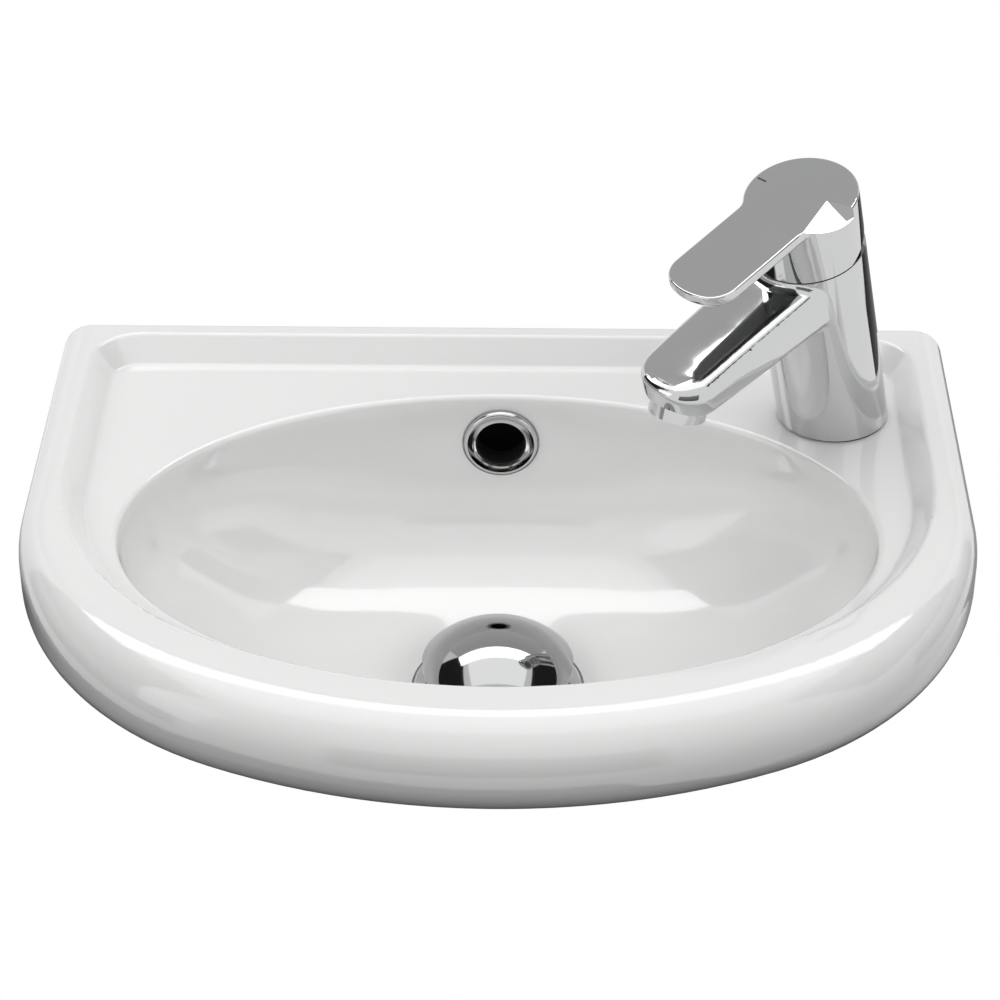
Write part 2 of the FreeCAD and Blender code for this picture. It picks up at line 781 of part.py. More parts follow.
# Frame of the tap: its origin is where the column's axis meets the deck, its X runs
# along the spout and its Z along the leaning column. The upright frame doesn't lean.
tap_spot = Vector(float(tap_x), float(tap_y), float(deck_level))
upright_frame = Placement(tap_spot, Rotation(Vector(0, 0, 1), float(d.tap_turn_angle)))
lean = Rotation(Vector(0, 1, 0), float(d.tap_lean_angle))
tap_frame = upright_frame.multiply(Placement(Vector(), lean))
plumb = lean.inverted()
joint = d.tap_joint_height
spout_root_width = d.tap_diameter - d.spout_root_inset * 2
spout_root_top = joint - d.spout_root_drop
spout_tip_top = joint - d.spout_tip_drop
spout_root_bottom = spout_root_top - d.spout_root_depth
spout_tip_bottom = spout_tip_top - d.spout_tip_depth
spout_duct_start = joint - d.spout_duct_drop
joint_frame = tap_frame.multiply(Placement(Vector(0, 0, float(joint)), Rotation()))
aerator_spot = Vector(float(d.spout_reach - d.aerator_setback), 0, float(spout_tip_bottom - d.aerator_sink))
aerator_place = Placement(aerator_spot,
                          Rotation(Vector(0, 1, 0), -float(d.aerator_tilt_angle)))
aerator_frame = tap_frame.multiply(aerator_place)
waste_frame = Placement(Vector(0, float(waste_y), float(flange_top)), Rotation())
overflow_frame = Placement(Vector(0, -float(overflow_seat), float(overflow_level)), TOWARDS_FRONT)


def make_rim():
    """The rim slab: a D outline with a rolled edge that is fuller at the front."""
    outline = d_outline("rim_outline", half_width, d.basin_depth, d.corner_radius, d.front_radius)
    place(outline, 0, 0, rim_bottom)
    slab = extrude("rim_slab", outline, d.rim_height)
    straight_side = float(half_width - d.running_clearance)

    def top_radius(point):
        return d.side_roll_radius if abs(point.x) > straight_side else d.front_roll_radius

    def on_top(edge):
        return lies_at(edge, "z", rim_top) and not lies_at(edge, "y", 0)

    def on_bottom(edge):
        return lies_at(edge, "z", rim_bottom) and not lies_at(edge, "y", 0)

    rolled = fillet("rim_roll", slab, top_radius, on_top)
    return fillet("rim_under_roll", rolled, lambda point: d.under_roll_radius, on_bottom)


def inner_outline(run):
    """Half width, depth, corner and nose radius of the deck, that far in from the rim band."""
    return (half_width - d.rim_band_side - run, d.basin_depth - d.rim_band_front - run,
            d.corner_radius - d.rim_band_side - run, d.front_radius - d.rim_band_front - run)


def make_deck_recess():
    """The sunk deck inside the rim, with sloping walls."""
    sections = []
    for name, level, run in (("shoulder", rim_top, 0), ("foot", deck_level, d.deck_slope_run)):
        outline = d_outline(f"deck_{name}", *inner_outline(run), d.rim_band_back + run,
                            d.deck_corner_radius - run)
        sections.append(place(outline, 0, 0, level))
    return loft("deck_recess", sections, ruled=True)


def make_underbody():
    """The outside of the bowl below the rim, cut off flat at the wall."""
    start = rim_top - d.under_start_drop
    height = start - boss_bottom
    heights = [start - height * depth_share for depth_share in UNDER_DEPTH_SHARES]
    shares = (UNDER_WIDTH_SHARES, UNDER_BACK_SHARES, UNDER_FRONT_SHARES)
    back = d.bowl_back - d.bowl_wall
    front = d.basin_depth - d.under_front_margin
    rim = (half_width, d.basin_depth, d.corner_radius, d.front_radius)
    widest = widest_oval(back, front, [size - d.under_roll_radius for size in rim], d.under_ledge)
    ovals = oval_sections(widest, d.boss_radius, back, front, shares)
    return oval_stack("underbody", heights, *ovals)


def make_back_plate():
    """The flat plate against the wall that takes the two fixing bolts."""
    sketch = new_sketch("back_plate_outline")
    top = deck_underside
    foot = rim_top - d.back_plate_drop
    wide = half_width - d.back_plate_side_margin
    narrow = half_width - d.back_plate_foot_margin
    polygon(sketch, [(-narrow, foot), (narrow, foot), (wide, top), (-wide, top)])
    place(sketch, rotation=FRONT_VIEW)
    plate = extrude("back_plate", sketch, d.back_wall)

    def lower_corner(edge):
        low, high = edge_span(edge, "x")
        return lies_at(edge, "z", foot) and high - low < float(d.running_clearance)

    return fillet("back_plate_rounded", plate, lambda point: d.back_plate_corner, lower_corner)


def make_spine():
    """The hollow rib behind the bowl that carries the overflow water to the waste."""
    back = -d.back_wall
    front = back - d.duct_depth
    mouth = waste_y + d.duct_mouth_reach
    top = rim_top - d.duct_top_drop
    mouth_top = waste_seat - d.duct_mouth_gap
    mouth_low = mouth_top - d.duct_mouth_height
    bend = mouth_top + d.duct_fall
    bend_low = bend - d.duct_mouth_height
    outer = new_sketch("spine_outline")
    polygon(outer, [(0, deck_underside), (0, bend_low - d.spine_floor),
                    (waste_y + d.boss_radius, boss_bottom), (waste_y, boss_bottom), (waste_y, waste_seat),
                    (-d.bowl_back, deck_underside)])
    place(outer, rotation=SIDE_VIEW)
    channel = new_sketch("duct_outline")
    polygon(channel, [(back, top), (front, top), (front, bend), (mouth, mouth_top), (mouth, mouth_low),
                      (back, bend_low)])
    place(channel, rotation=SIDE_VIEW)
    spine = extrude("spine", outer, d.spine_width, both_ways=True)
    return spine, extrude("overflow_duct", channel, d.duct_width, both_ways=True)


def make_pockets():
    """The two hollows under the deck, left and right of the spine."""
    pockets = []
    outer = half_width - d.pocket_side_margin
    wide = outer - d.pocket_inner
    long = d.pocket_front - d.back_wall
    for side, start in (("left", -outer), ("right", d.pocket_inner)):
        pocket = box(f"pocket_{side}", wide, long, basin_height, start, -d.pocket_front,
                     deck_underside - basin_height)

        def upright(edge):
            low, high = edge_span(edge, "z")
            return high - low > float(d.deck_thickness)

        pockets.append(fillet(f"pocket_{side}_rounded", pocket, lambda point: d.pocket_corner, upright))
    return pockets


def make_basin():
    rim = make_rim()
    sunk = cut("rim_sunk", rim, make_deck_recess())
    doc.recompute()
    shoulder_line = float(d.basin_depth - d.rim_band_front)

    def inside_rim(edge, level):
        return lies_at(edge, "z", level) and edge_span(edge, "y")[0] > -shoulder_line - float(d.foot_fillet)

    def shoulder(edge):
        low, high = edge_span(edge, "x")
        reach = float(half_width - d.rim_band_side + d.running_clearance)
        within = low > -reach and high < reach
        return inside_rim(edge, rim_top) and within and not lies_at(edge, "y", 0)

    soft = fillet("shoulder_soft", sunk, lambda point: d.shoulder_fillet, shoulder)
    soft = fillet("foot_soft", soft, lambda point: d.foot_fillet, lambda edge: inside_rim(edge, deck_level))
    hollowed = cut("rim_pocketed", soft, *make_pockets())
    spine, duct = make_spine()
    behind_wall = box("behind_wall", d.basin_width + d.overrun, d.basin_depth, basin_height,
                      -(d.basin_width + d.overrun) / 2, 0, boss_bottom - d.overrun)
    outside = cut("underbody_at_wall", make_underbody(), behind_wall)
    shell = fuse("basin_shell", hollowed, outside, make_back_plate(), spine)

    shares = (BOWL_WIDTH_SHARES, BOWL_BACK_SHARES, BOWL_FRONT_SHARES)
    widest = widest_oval(d.bowl_back, bowl_front, inner_outline(d.deck_slope_run), d.bowl_land)
    centers, half_widths, half_depths = oval_sections(widest, d.bowl_floor_radius, d.bowl_back, bowl_front,
                                                      shares)
    heights = [deck_level - d.bowl_depth * depth_share for depth_share in BOWL_DEPTH_SHARES]
    bowled = cut("basin_bowl", shell, oval_stack("bowl", heights, centers, half_widths, half_depths))

    at_deck = BOWL_DEPTH_SHARES.index(0)

    def bowl_edge(edge):
        middle = edge.valueAt((edge.FirstParameter + edge.LastParameter) / 2)
        across = middle.x / float(half_widths[at_deck])
        along = (middle.y - float(centers[at_deck])) / float(half_depths[at_deck])
        off_oval = abs(math.hypot(across, along) - 1) * float(half_depths[at_deck])
        return lies_at(edge, "z", deck_level) and off_oval < float(d.running_clearance)

    bowled = fillet("bowl_edge_soft", bowled, lambda point: d.bowl_edge_fillet, bowl_edge)

    holes = [duct]
    holes.append(cylinder("waste_seat_cut", d.waste_flange_diameter + d.waste_seat_margin * 2,
                          d.bowl_depth, 0, waste_y, waste_seat))
    holes.append(cylinder("waste_hole", d.waste_hole_diameter, basin_height, 0, waste_y,
                          boss_bottom - d.overrun))
    holes.append(cylinder("tap_hole", d.tap_hole_diameter, d.deck_thickness + d.overrun,
                          tap_x, tap_y, deck_underside - d.overrun / 2))
    for side in (-1, 1):
        holes.append(cylinder("fixing_hole", d.fixing_hole_diameter, d.back_wall + d.overrun,
                              d.fixing_spacing / 2 * side, d.overrun / 2, 0, TOWARDS_FRONT))
    holes.append(cylinder("overflow_hole", d.overflow_hole_diameter, overflow_seat - d.back_wall,
                          0, -d.back_wall - d.duct_depth / 2, overflow_level, TOWARDS_FRONT))
    spot = d.overflow_ring_diameter + d.overflow_spot_margin * 2
    holes.append(cylinder("overflow_spot_face", spot, d.overrun, 0, -overflow_seat,
                          overflow_level, TOWARDS_FRONT))
    node("basin", cut("basin_solid", bowled, *holes))


def make_overflow():
    """The ring in the overflow hole and the dark sleeve that backs its lip."""
    collar = d.overflow_hole_diameter / 2 - d.fit_clearance
    bore = collar - d.overflow_collar_wall
    mouth = d.overflow_ring_mouth_diameter / 2
    step = d.overflow_step_diameter / 2
    outer = d.overflow_ring_diameter / 2
    front = d.overflow_ring_thickness
    sunk = front - d.overflow_step_depth
    lip = front - d.overflow_lip
    end = -d.overflow_collar_length
    face = turned("overflow_ring", [(bore, end), (collar, end), (collar, 0), (outer, 0), (outer, front),
                                    (step, front), (step, sunk), (mouth, sunk), (mouth, lip), (bore, lip)])
    node("overflow_ring", soften(face, d.overflow_round, [(outer, front)]), overflow_frame)
    sleeve = bore - d.fit_clearance
    node("overflow_sleeve", ring("overflow_sleeve", sleeve * 2, (sleeve - d.overflow_sleeve_wall) * 2,
                                 lip - d.overflow_sleeve_length, lip), overflow_frame)


def make_waste():
    """The flanged tail with its slots and spider, and what clamps it to the basin."""
    rim = d.waste_flange_diameter / 2
    throat = d.waste_bore_diameter / 2
    outer = d.waste_tail_diameter / 2
    under = -d.waste_flange_thickness
    boss = boss_bottom - flange_top
    nut_foot = boss - d.washer_thickness - d.backnut_height
    groove_top = nut_foot - d.groove_gap
    groove_foot = groove_top - d.groove_width
    groove = outer - d.groove_depth
    tail = turned("waste_tail", [(throat, -d.waste_length), (outer, -d.waste_length), (outer, groove_foot),
                                 (groove, groove_foot), (groove, groove_top), (outer, groove_top),
                                 (outer, under),
                                 (rim, under), (rim, 0), (rim - d.waste_flange_rim, 0),
                                 (d.waste_dish_diameter / 2, -d.waste_dish_depth),
                                 (throat, -d.waste_throat_depth)])
    soften(tail, d.waste_flange_round, [(rim, 0)])
    slot_foot = -d.waste_slot_drop - d.waste_slot_height
    slots = round_about(SLOT_COUNT, lambda: spoke("waste_slot", rim, d.waste_slot_width, d.waste_slot_height,
                                                  slot_foot))
    slotted = cut("waste_slotted", tail, *slots)
    spider_foot = -d.spider_drop - d.spider_height
    hub = cylinder("spider_hub", d.spider_hub_diameter, d.spider_height, 0, 0, spider_foot)
    ribs = round_about(RIB_COUNT, lambda: spoke("spider_rib", (throat + outer) / 2, d.spider_rib,
                                                d.spider_height, spider_foot))
    blank = fuse("waste_blank", slotted, hub, *ribs)
    eye = cylinder("spider_eye", d.click_body_diameter + d.fit_clearance * 2, d.waste_length, 0, 0,
                   -d.waste_length)
    node("waste_body", cut("waste_drilled", blank, eye), waste_frame)

    loose = d.waste_tail_diameter + d.fit_clearance * 2
    node("waste_seal", ring("waste_seal", d.waste_flange_diameter, loose,
                            under - d.waste_seal_thickness, under), waste_frame)
    node("waste_washer", ring("waste_washer", d.washer_diameter, loose, boss - d.washer_thickness, boss),
         waste_frame)
    nut = prism("backnut_hex", d.backnut_corner_diameter, d.backnut_height, 0, 0, nut_foot)
    hole = cylinder("backnut_hole", loose, d.waste_length, 0, 0, nut_foot - d.overrun)
    node("waste_backnut", cut("backnut", nut, hole), waste_frame)


def make_click():
    """The click housing in the spider, its end cap and its spring."""
    top = d.click_flange_height - d.spider_drop
    guide_foot = top - d.click_guide_height
    foot = -d.spider_drop - d.click_body_length
    guide = d.stem_diameter / 2 + d.running_clearance
    bore = d.click_bore_diameter / 2
    body = d.click_body_diameter / 2
    flange = d.click_flange_diameter / 2
    node("click_housing", turned("click_housing", [(guide, top), (flange, top), (flange, -d.spider_drop),
                                                   (body, -d.spider_drop), (body, foot), (bore, foot),
                                                   (bore, guide_foot), (guide, guide_foot)]), waste_frame)
    seat = foot + d.click_cap_height
    node("click_end_cap", ring("click_end_cap", d.click_bore_diameter - d.fit_clearance * 2,
                               d.stem_tail_diameter, foot, seat), waste_frame)
    collar_top = guide_foot - d.fit_clearance
    collar_foot = collar_top - d.stem_collar_height
    wire = d.spring_wire_diameter
    node("click_spring", ring("click_spring", d.spring_coil_diameter + wire, d.spring_coil_diameter - wire,
                              seat, collar_foot), waste_frame)
    stem_top = d.plug_lift - d.dome_boss_drop + d.dome_socket_depth - d.fit_clearance
    tail_foot = collar_foot - d.stem_tail_length
    collar = d.stem_collar_diameter / 2
    slim = d.stem_tail_diameter / 2
    stem = d.stem_diameter / 2
    node("plug_stem", turned("plug_stem", [(0, tail_foot), (slim, tail_foot), (slim, collar_foot),
                                           (collar, collar_foot), (collar, collar_top), (stem, collar_top),
                                           (stem, stem_top), (0, stem_top)]), waste_frame)


def make_plug():
    """The dome of the click plug and the sealing ring under it."""
    low = d.plug_lift
    tall = d.dome_lip + d.dome_height
    outer = d.dome_diameter
    radius = (outer * outer / 4 + d.dome_height * d.dome_height) / (d.dome_height * 2)
    center = low + tall - radius
    inner = outer - d.dome_wall * 2
    cap = common("dome_cap", sphere("dome_ball", radius * 2, 0, 0, center),
                 cylinder("dome_blank", outer, tall, 0, 0, low))
    hollow = common("dome_hollow", sphere("dome_inner_ball", (radius - d.dome_wall) * 2, 0, 0, center),
                    cylinder("dome_inner_blank", inner, tall + d.overrun, 0, 0, low - d.overrun))
    rib = common("dome_rib", cap, ring("dome_rib_blank", d.seal_rib_diameter,
                                       d.seal_rib_diameter - d.seal_rib_wall * 2, low, low + tall))
    boss_foot = low - d.dome_boss_drop
    boss = cylinder("dome_boss", d.dome_boss_diameter, tall + d.dome_boss_drop - d.dome_wall, 0, 0, boss_foot)
    shell = fuse("dome_shell", cut("dome_skin", cap, hollow), rib, boss)
    socket = cylinder("dome_socket", d.stem_diameter + d.fit_clearance * 2, d.dome_socket_depth, 0, 0,
                      boss_foot)
    node("plug_dome", cut("dome_bored", shell, socket), waste_frame)
    bore = d.seal_rib_diameter + d.fit_clearance * 2
    foot = low - d.seal_drop
    node("plug_seal", ring("plug_seal", bore + d.seal_width * 2, bore, foot, foot + d.seal_height),
         waste_frame)


def make_spout():
    """The spout before it joins the column: a tongue in plan, tapering from the side."""
    plan = tongue_outline("spout_plan", spout_root_width / 2, d.spout_tip_width / 2, d.spout_reach,
                          d.spout_tip_corner, d.spout_tip_nose)
    tall = extrude("spout_tall", plan, joint)
    side = new_sketch("spout_side")
    end = d.spout_reach + d.overrun
    further = d.overrun / d.spout_reach
    end_top = spout_tip_top + (spout_tip_top - spout_root_top) * further
    end_bottom = spout_tip_bottom + (spout_tip_bottom - spout_root_bottom) * further
    polygon(side, [(0, spout_root_bottom), (end, end_bottom), (end, end_top), (0, spout_root_top)])
    place(side, rotation=FRONT_VIEW)
    blank = common("spout_blank", tall, extrude("spout_wedge", side, spout_root_width * 2, both_ways=True))
    middle = float(spout_root_top + spout_root_bottom) / 2
    corner_x = float(d.spout_reach - d.spout_tip_corner / 2)

    def lengthwise(edge):
        low, high = edge_span(edge, "z")
        return high - low < float(d.spout_tip_depth) / 2 and not lies_at(edge, "x", 0)

    def eased(point):
        above = point.z > middle
        if point.x > corner_x:
            return d.spout_end_shoulder if above else d.spout_end_belly
        if point.x > corner_x / 2:
            return d.spout_tip_shoulder if above else d.spout_tip_belly
        return d.spout_root_shoulder if above else d.spout_root_belly

    return fillet("spout_rounded", blank, eased, lengthwise), tall


def make_tap_body():
    """Column and spout in one casting, with the bores for cartridge, water and fixing."""
    column = cylinder("tap_column", d.tap_diameter, joint + d.overrun, 0, 0, -d.overrun)
    spout, tall = make_spout()
    joined = fuse("tap_joined", column, spout)
    radius = float(d.tap_diameter / 2)

    def root_line(edge):
        ends = [edge.valueAt(edge.FirstParameter), edge.valueAt(edge.LastParameter)]
        middle = edge.valueAt((edge.FirstParameter + edge.LastParameter) / 2)
        near = float(d.running_clearance)
        round_wall = all(abs(math.hypot(p.x, p.y) - radius) < near for p in ends + [middle])
        below_top = edge_span(edge, "z")[1] < float(spout_root_top) + near
        return round_wall and below_top and middle.x > radius / 4

    blended = fillet("tap_blended", joined, lambda point: d.spout_blend, root_line)
    boss = cylinder("aerator_boss", d.aerator_boss_diameter, d.aerator_boss_height + d.spout_blend)
    boss.Placement = aerator_place.multiply(boss.Placement)
    blank = fuse("tap_blank", blended, common("aerator_boss_trimmed", boss, tall))

    wide = d.tap_diameter * 2
    under_tip = box("under_tip", wide, wide, d.aerator_skirt + d.overrun, -float(d.aerator_boss_diameter) / 2,
                    -float(wide) / 2, -float(d.aerator_skirt + d.overrun))
    aerator_depth = d.aerator_thread_length + d.aerator_washer_thickness
    nozzle = cylinder("aerator_hole", d.aerator_thread_diameter + d.fit_clearance * 2, aerator_depth)
    for tool in (under_tip, nozzle):
        tool.Placement = aerator_place.multiply(tool.Placement)
    under_base = turn(box("under_base", wide, wide, wide, -float(wide) / 2, -float(wide) / 2,
                          float(d.gasket_thickness - wide)), plumb)
    start = Vector(0, 0, float(spout_duct_start))
    run = aerator_place.multVec(Vector(0, 0, float(aerator_depth))) - start
    duct = cylinder("spout_duct", d.spout_duct_diameter, run.Length)
    duct.Placement = Placement(start, Rotation(Vector(0, 0, 1), run))
    tools = [under_tip, nozzle, under_base, duct]
    tools.append(cylinder("nut_bore", d.nut_diameter + d.fit_clearance * 2, d.cartridge_depth, 0, 0,
                          joint - d.cartridge_shoulder))
    seat = joint - d.cartridge_depth
    tools.append(cylinder("cartridge_bore", d.cartridge_diameter + d.fit_clearance * 2, d.cartridge_depth,
                          0, 0, seat))
    for side in (-1, 1):
        low = d.inlet_depth - d.inlet_overlap
        tools.append(cylinder("inlet_passage", d.inlet_passage_diameter, seat - low + d.fit_clearance,
                              -d.port_back, d.port_spacing / 2 * side, low))
        tools.append(turn(cylinder("inlet", d.inlet_diameter, d.inlet_depth + d.overrun,
                                   float(d.inlet_forward), float(d.inlet_spacing) / 2 * side,
                                   -float(d.overrun)), plumb))
    tools.append(turn(cylinder("stud_hole", d.stud_diameter + d.fit_clearance * 2,
                               d.stud_depth + d.fit_clearance + d.overrun, -float(d.stud_back), 0,
                               -float(d.overrun)), plumb))
    node("tap_body", cut("tap_bored", blank, *tools), tap_frame)
    gasket = d.tap_diameter - d.gasket_inset * 2
    node("tap_gasket", ring("tap_gasket", gasket, gasket - d.gasket_width * 2, 0, d.gasket_thickness),
         upright_frame)


def make_aerator():
    """The screwed-in aerator: housing, honeycomb insert and washer."""
    skirt = d.aerator_diameter / 2
    thread = d.aerator_thread_diameter / 2
    low = -d.aerator_skirt
    shelf = low + d.aerator_lip
    roof = -d.aerator_shelf
    chamber = d.aerator_chamber_diameter / 2
    neck = d.aerator_bore_diameter / 2
    lip = d.aerator_lip_diameter / 2
    top = d.aerator_thread_length
    node("aerator_housing", turned("aerator_housing", [(lip, low), (skirt, low), (skirt, 0), (thread, 0),
                                                       (thread, top), (neck, top), (neck, roof),
                                                       (chamber, roof), (chamber, shelf), (lip, shelf)]),
         aerator_frame)
    wide = chamber - d.fit_clearance
    slim = neck - d.fit_clearance
    crown = roof - d.fit_clearance
    blank = turned("aerator_insert_blank", [(0, shelf), (wide, shelf), (wide, crown), (slim, crown),
                                            (slim, d.aerator_insert_top), (0, d.aerator_insert_top)])
    pitch = float(d.aerator_cell + d.aerator_web)
    cells = []
    for row in range(-CELL_ROWS, CELL_ROWS + 1):
        count = 2 * CELL_ROWS + 1 - abs(row)
        for i in range(count):
            x = (i - (count - 1) / 2) * pitch
            cell = cylinder("aerator_cell", d.aerator_cell, d.aerator_cell_depth, x,
                            row * pitch * math.sin(math.pi / 3), shelf)
            cells.append(cell)
    node("aerator_insert", cut("aerator_cells", blank, *cells), aerator_frame)
    node("aerator_washer", ring("aerator_washer", d.aerator_thread_diameter, d.aerator_washer_bore, top,
                                top + d.aerator_washer_thickness), aerator_frame)


def make_fixing():
    """The stud, the horseshoe washers and the nut that hold the tap to the deck."""
    low = d.stud_depth - d.stud_length
    node("fixing_stud", cylinder("fixing_stud", d.stud_diameter, d.stud_length, -float(d.stud_back), 0,
                                 float(low)), upright_frame)
    top = -d.deck_thickness
    layers = (("horseshoe_washer", d.horseshoe_rubber), ("horseshoe_plate", d.horseshoe_steel))
    for label, thickness in layers:
        foot = top - thickness
        disc = cylinder(f"{label}_disc", d.horseshoe_diameter, thickness, 0, 0, foot)
        front = box(f"{label}_front", d.horseshoe_diameter, d.horseshoe_diameter, d.horseshoe_diameter,
                    d.horseshoe_end, -d.horseshoe_diameter / 2, foot - d.overrun)
        gap = box(f"{label}_gap", d.horseshoe_diameter, d.horseshoe_gap, d.horseshoe_diameter,
                  -d.horseshoe_gap_start, -d.horseshoe_gap / 2, foot - d.overrun)
        hole = cylinder(f"{label}_hole", d.stud_diameter + d.fit_clearance * 2, d.horseshoe_diameter,
                        -d.stud_back, 0, foot - d.overrun)
        node(label, cut(f"{label}_cut", disc, front, gap, hole), upright_frame)
        top = foot
    nut = prism("fixing_nut_hex", d.fixing_nut_corner_diameter, d.fixing_nut_height, -d.stud_back, 0,
                top - d.fixing_nut_height)
    hole = cylinder("fixing_nut_hole", d.stud_diameter + d.fit_clearance * 2, d.stud_length, -d.stud_back, 0,
                    top - d.stud_length)
    node("fixing_nut", cut("fixing_nut", nut, hole), upright_frame)


def ports(name, diameter_more=0):
    """Cylinders through the two inlet ports and the outlet port of the cartridge."""
    spots = [(-d.port_back, d.port_spacing / 2 * side, d.port_diameter) for side in (-1, 1)]
    spots.append((d.outlet_port_forward, 0, d.outlet_port_diameter))
    return [cylinder(name, diameter + diameter_more, d.cartridge_depth, x, y, -d.cartridge_depth)
            for x, y, diameter in spots]


def make_cartridge():
    """The mixing cartridge under the lever, with its discs, rotor, nut and cover."""
    low = d.cartridge_foot - d.cartridge_depth
    shoulder = -d.cartridge_shoulder
    roof = -d.cartridge_chamber_top
    wall = d.cartridge_diameter / 2
    chamber = d.cartridge_chamber_diameter / 2
    neck = d.cartridge_neck_diameter / 2
    guide = d.rotor_neck_diameter / 2 + d.running_clearance
    top = d.cartridge_neck_height
    shell = turned("cartridge_shell", [(chamber, low), (wall, low), (wall, shoulder), (neck, shoulder),
                                       (neck, top), (guide, top), (guide, roof), (chamber, roof)])
    window = box("cartridge_window", d.cartridge_diameter, d.cartridge_window_width,
                 d.cartridge_window_height, 0, -d.cartridge_window_width / 2,
                 -d.spout_duct_drop - d.cartridge_window_height / 2)
    node("cartridge_housing", cut("cartridge_windowed", shell, window), joint_frame)

    disc = d.cartridge_chamber_diameter - d.fit_clearance * 2
    base_top = low + d.base_thickness
    base = cylinder("cartridge_base_blank", disc, d.base_thickness, 0, 0, low)
    node("cartridge_base", cut("cartridge_base", base, *ports("base_port")), joint_frame)
    rings = ports("seal_outer", d.seal_ring_wall * 2)
    band = cylinder("seal_band", d.cartridge_diameter, d.cartridge_foot, 0, 0, -d.cartridge_depth)
    outer = common("seal_discs", fuse("seal_outers", *rings), band)
    node("cartridge_seals", cut("cartridge_seals", outer, *ports("seal_inner")), joint_frame)
    fixed = cylinder("fixed_disc_blank", disc, d.fixed_disc_thickness, 0, 0, base_top)
    node("fixed_disc", cut("fixed_disc", fixed, *ports("disc_port")), joint_frame)

    face = base_top + d.fixed_disc_thickness + d.running_clearance
    moving = cylinder("moving_disc_blank", d.moving_disc_diameter, d.moving_disc_thickness, 0, 0, face)
    recess = cylinder("moving_disc_recess", d.carrier_recess_diameter, d.carrier_recess_depth, 0, 0, face)
    node("moving_disc", cut("moving_disc", moving, recess), joint_frame)
    carrier_foot = face + d.moving_disc_thickness
    carrier = cylinder("carrier_blank", d.moving_disc_diameter, d.carrier_thickness, 0, 0, carrier_foot)
    eye = cylinder("carrier_eye", d.ball_diameter + d.ball_clearance * 2, d.cartridge_depth, 0, 0,
                   carrier_foot + d.ball_clearance)
    node("disc_carrier", cut("disc_carrier", carrier, eye), joint_frame)

    flange_top_level = roof - d.sliding_clearance
    flange_foot = flange_top_level - d.rotor_flange_height
    stem = d.rotor_neck_diameter / 2
    flange = d.rotor_flange_diameter / 2
    rotor_top = top - d.sliding_clearance
    turned_rotor = turned("rotor_blank", [(0, flange_foot), (flange, flange_foot), (flange, flange_top_level),
                                          (stem, flange_top_level), (stem, rotor_top), (0, rotor_top)])
    slot_width = d.spindle_width + d.sliding_clearance
    slot = box("rotor_slot", d.rotor_slot_length, slot_width, d.cartridge_depth, -d.rotor_slot_length / 2,
               -slot_width / 2, flange_foot - d.overrun / 2)
    eyes = cylinder("rotor_eye", d.pin_diameter + d.running_clearance * 2, d.cartridge_diameter, 0,
                    -d.cartridge_diameter / 2, d.pivot_height, ALONG_Y)
    node("cartridge_rotor", cut("cartridge_rotor", turned_rotor, slot, eyes), joint_frame)
    node("cartridge_pin", cylinder("cartridge_pin", d.pin_diameter, d.pin_length, 0, -float(d.pin_length) / 2,
                                   float(d.pivot_height), ALONG_Y), joint_frame)

    nut_hole = d.cartridge_neck_diameter + d.fit_clearance * 2
    nut = ring("cartridge_nut_ring", d.nut_diameter, nut_hole, shoulder, -d.nut_recess)
    slot_foot = -d.nut_recess - d.nut_slot_depth
    slots = round_about(SLOT_COUNT, lambda: spoke("nut_slot", d.nut_diameter, d.nut_slot_width,
                                                  d.nut_slot_depth, slot_foot))
    node("cartridge_nut", cut("cartridge_nut", nut, *slots), joint_frame)
    ball = sphere("cover_ball", d.cover_radius * 2, 0, 0, d.pivot_height)
    core = sphere("cover_core", (d.cover_radius - d.cover_wall) * 2, 0, 0, d.pivot_height)
    slab = cylinder("cover_slab", d.cover_radius * 2 + d.overrun, d.cover_height)
    node("cartridge_cover", common("cartridge_cover", cut("cover_shell", ball, core), slab), joint_frame)


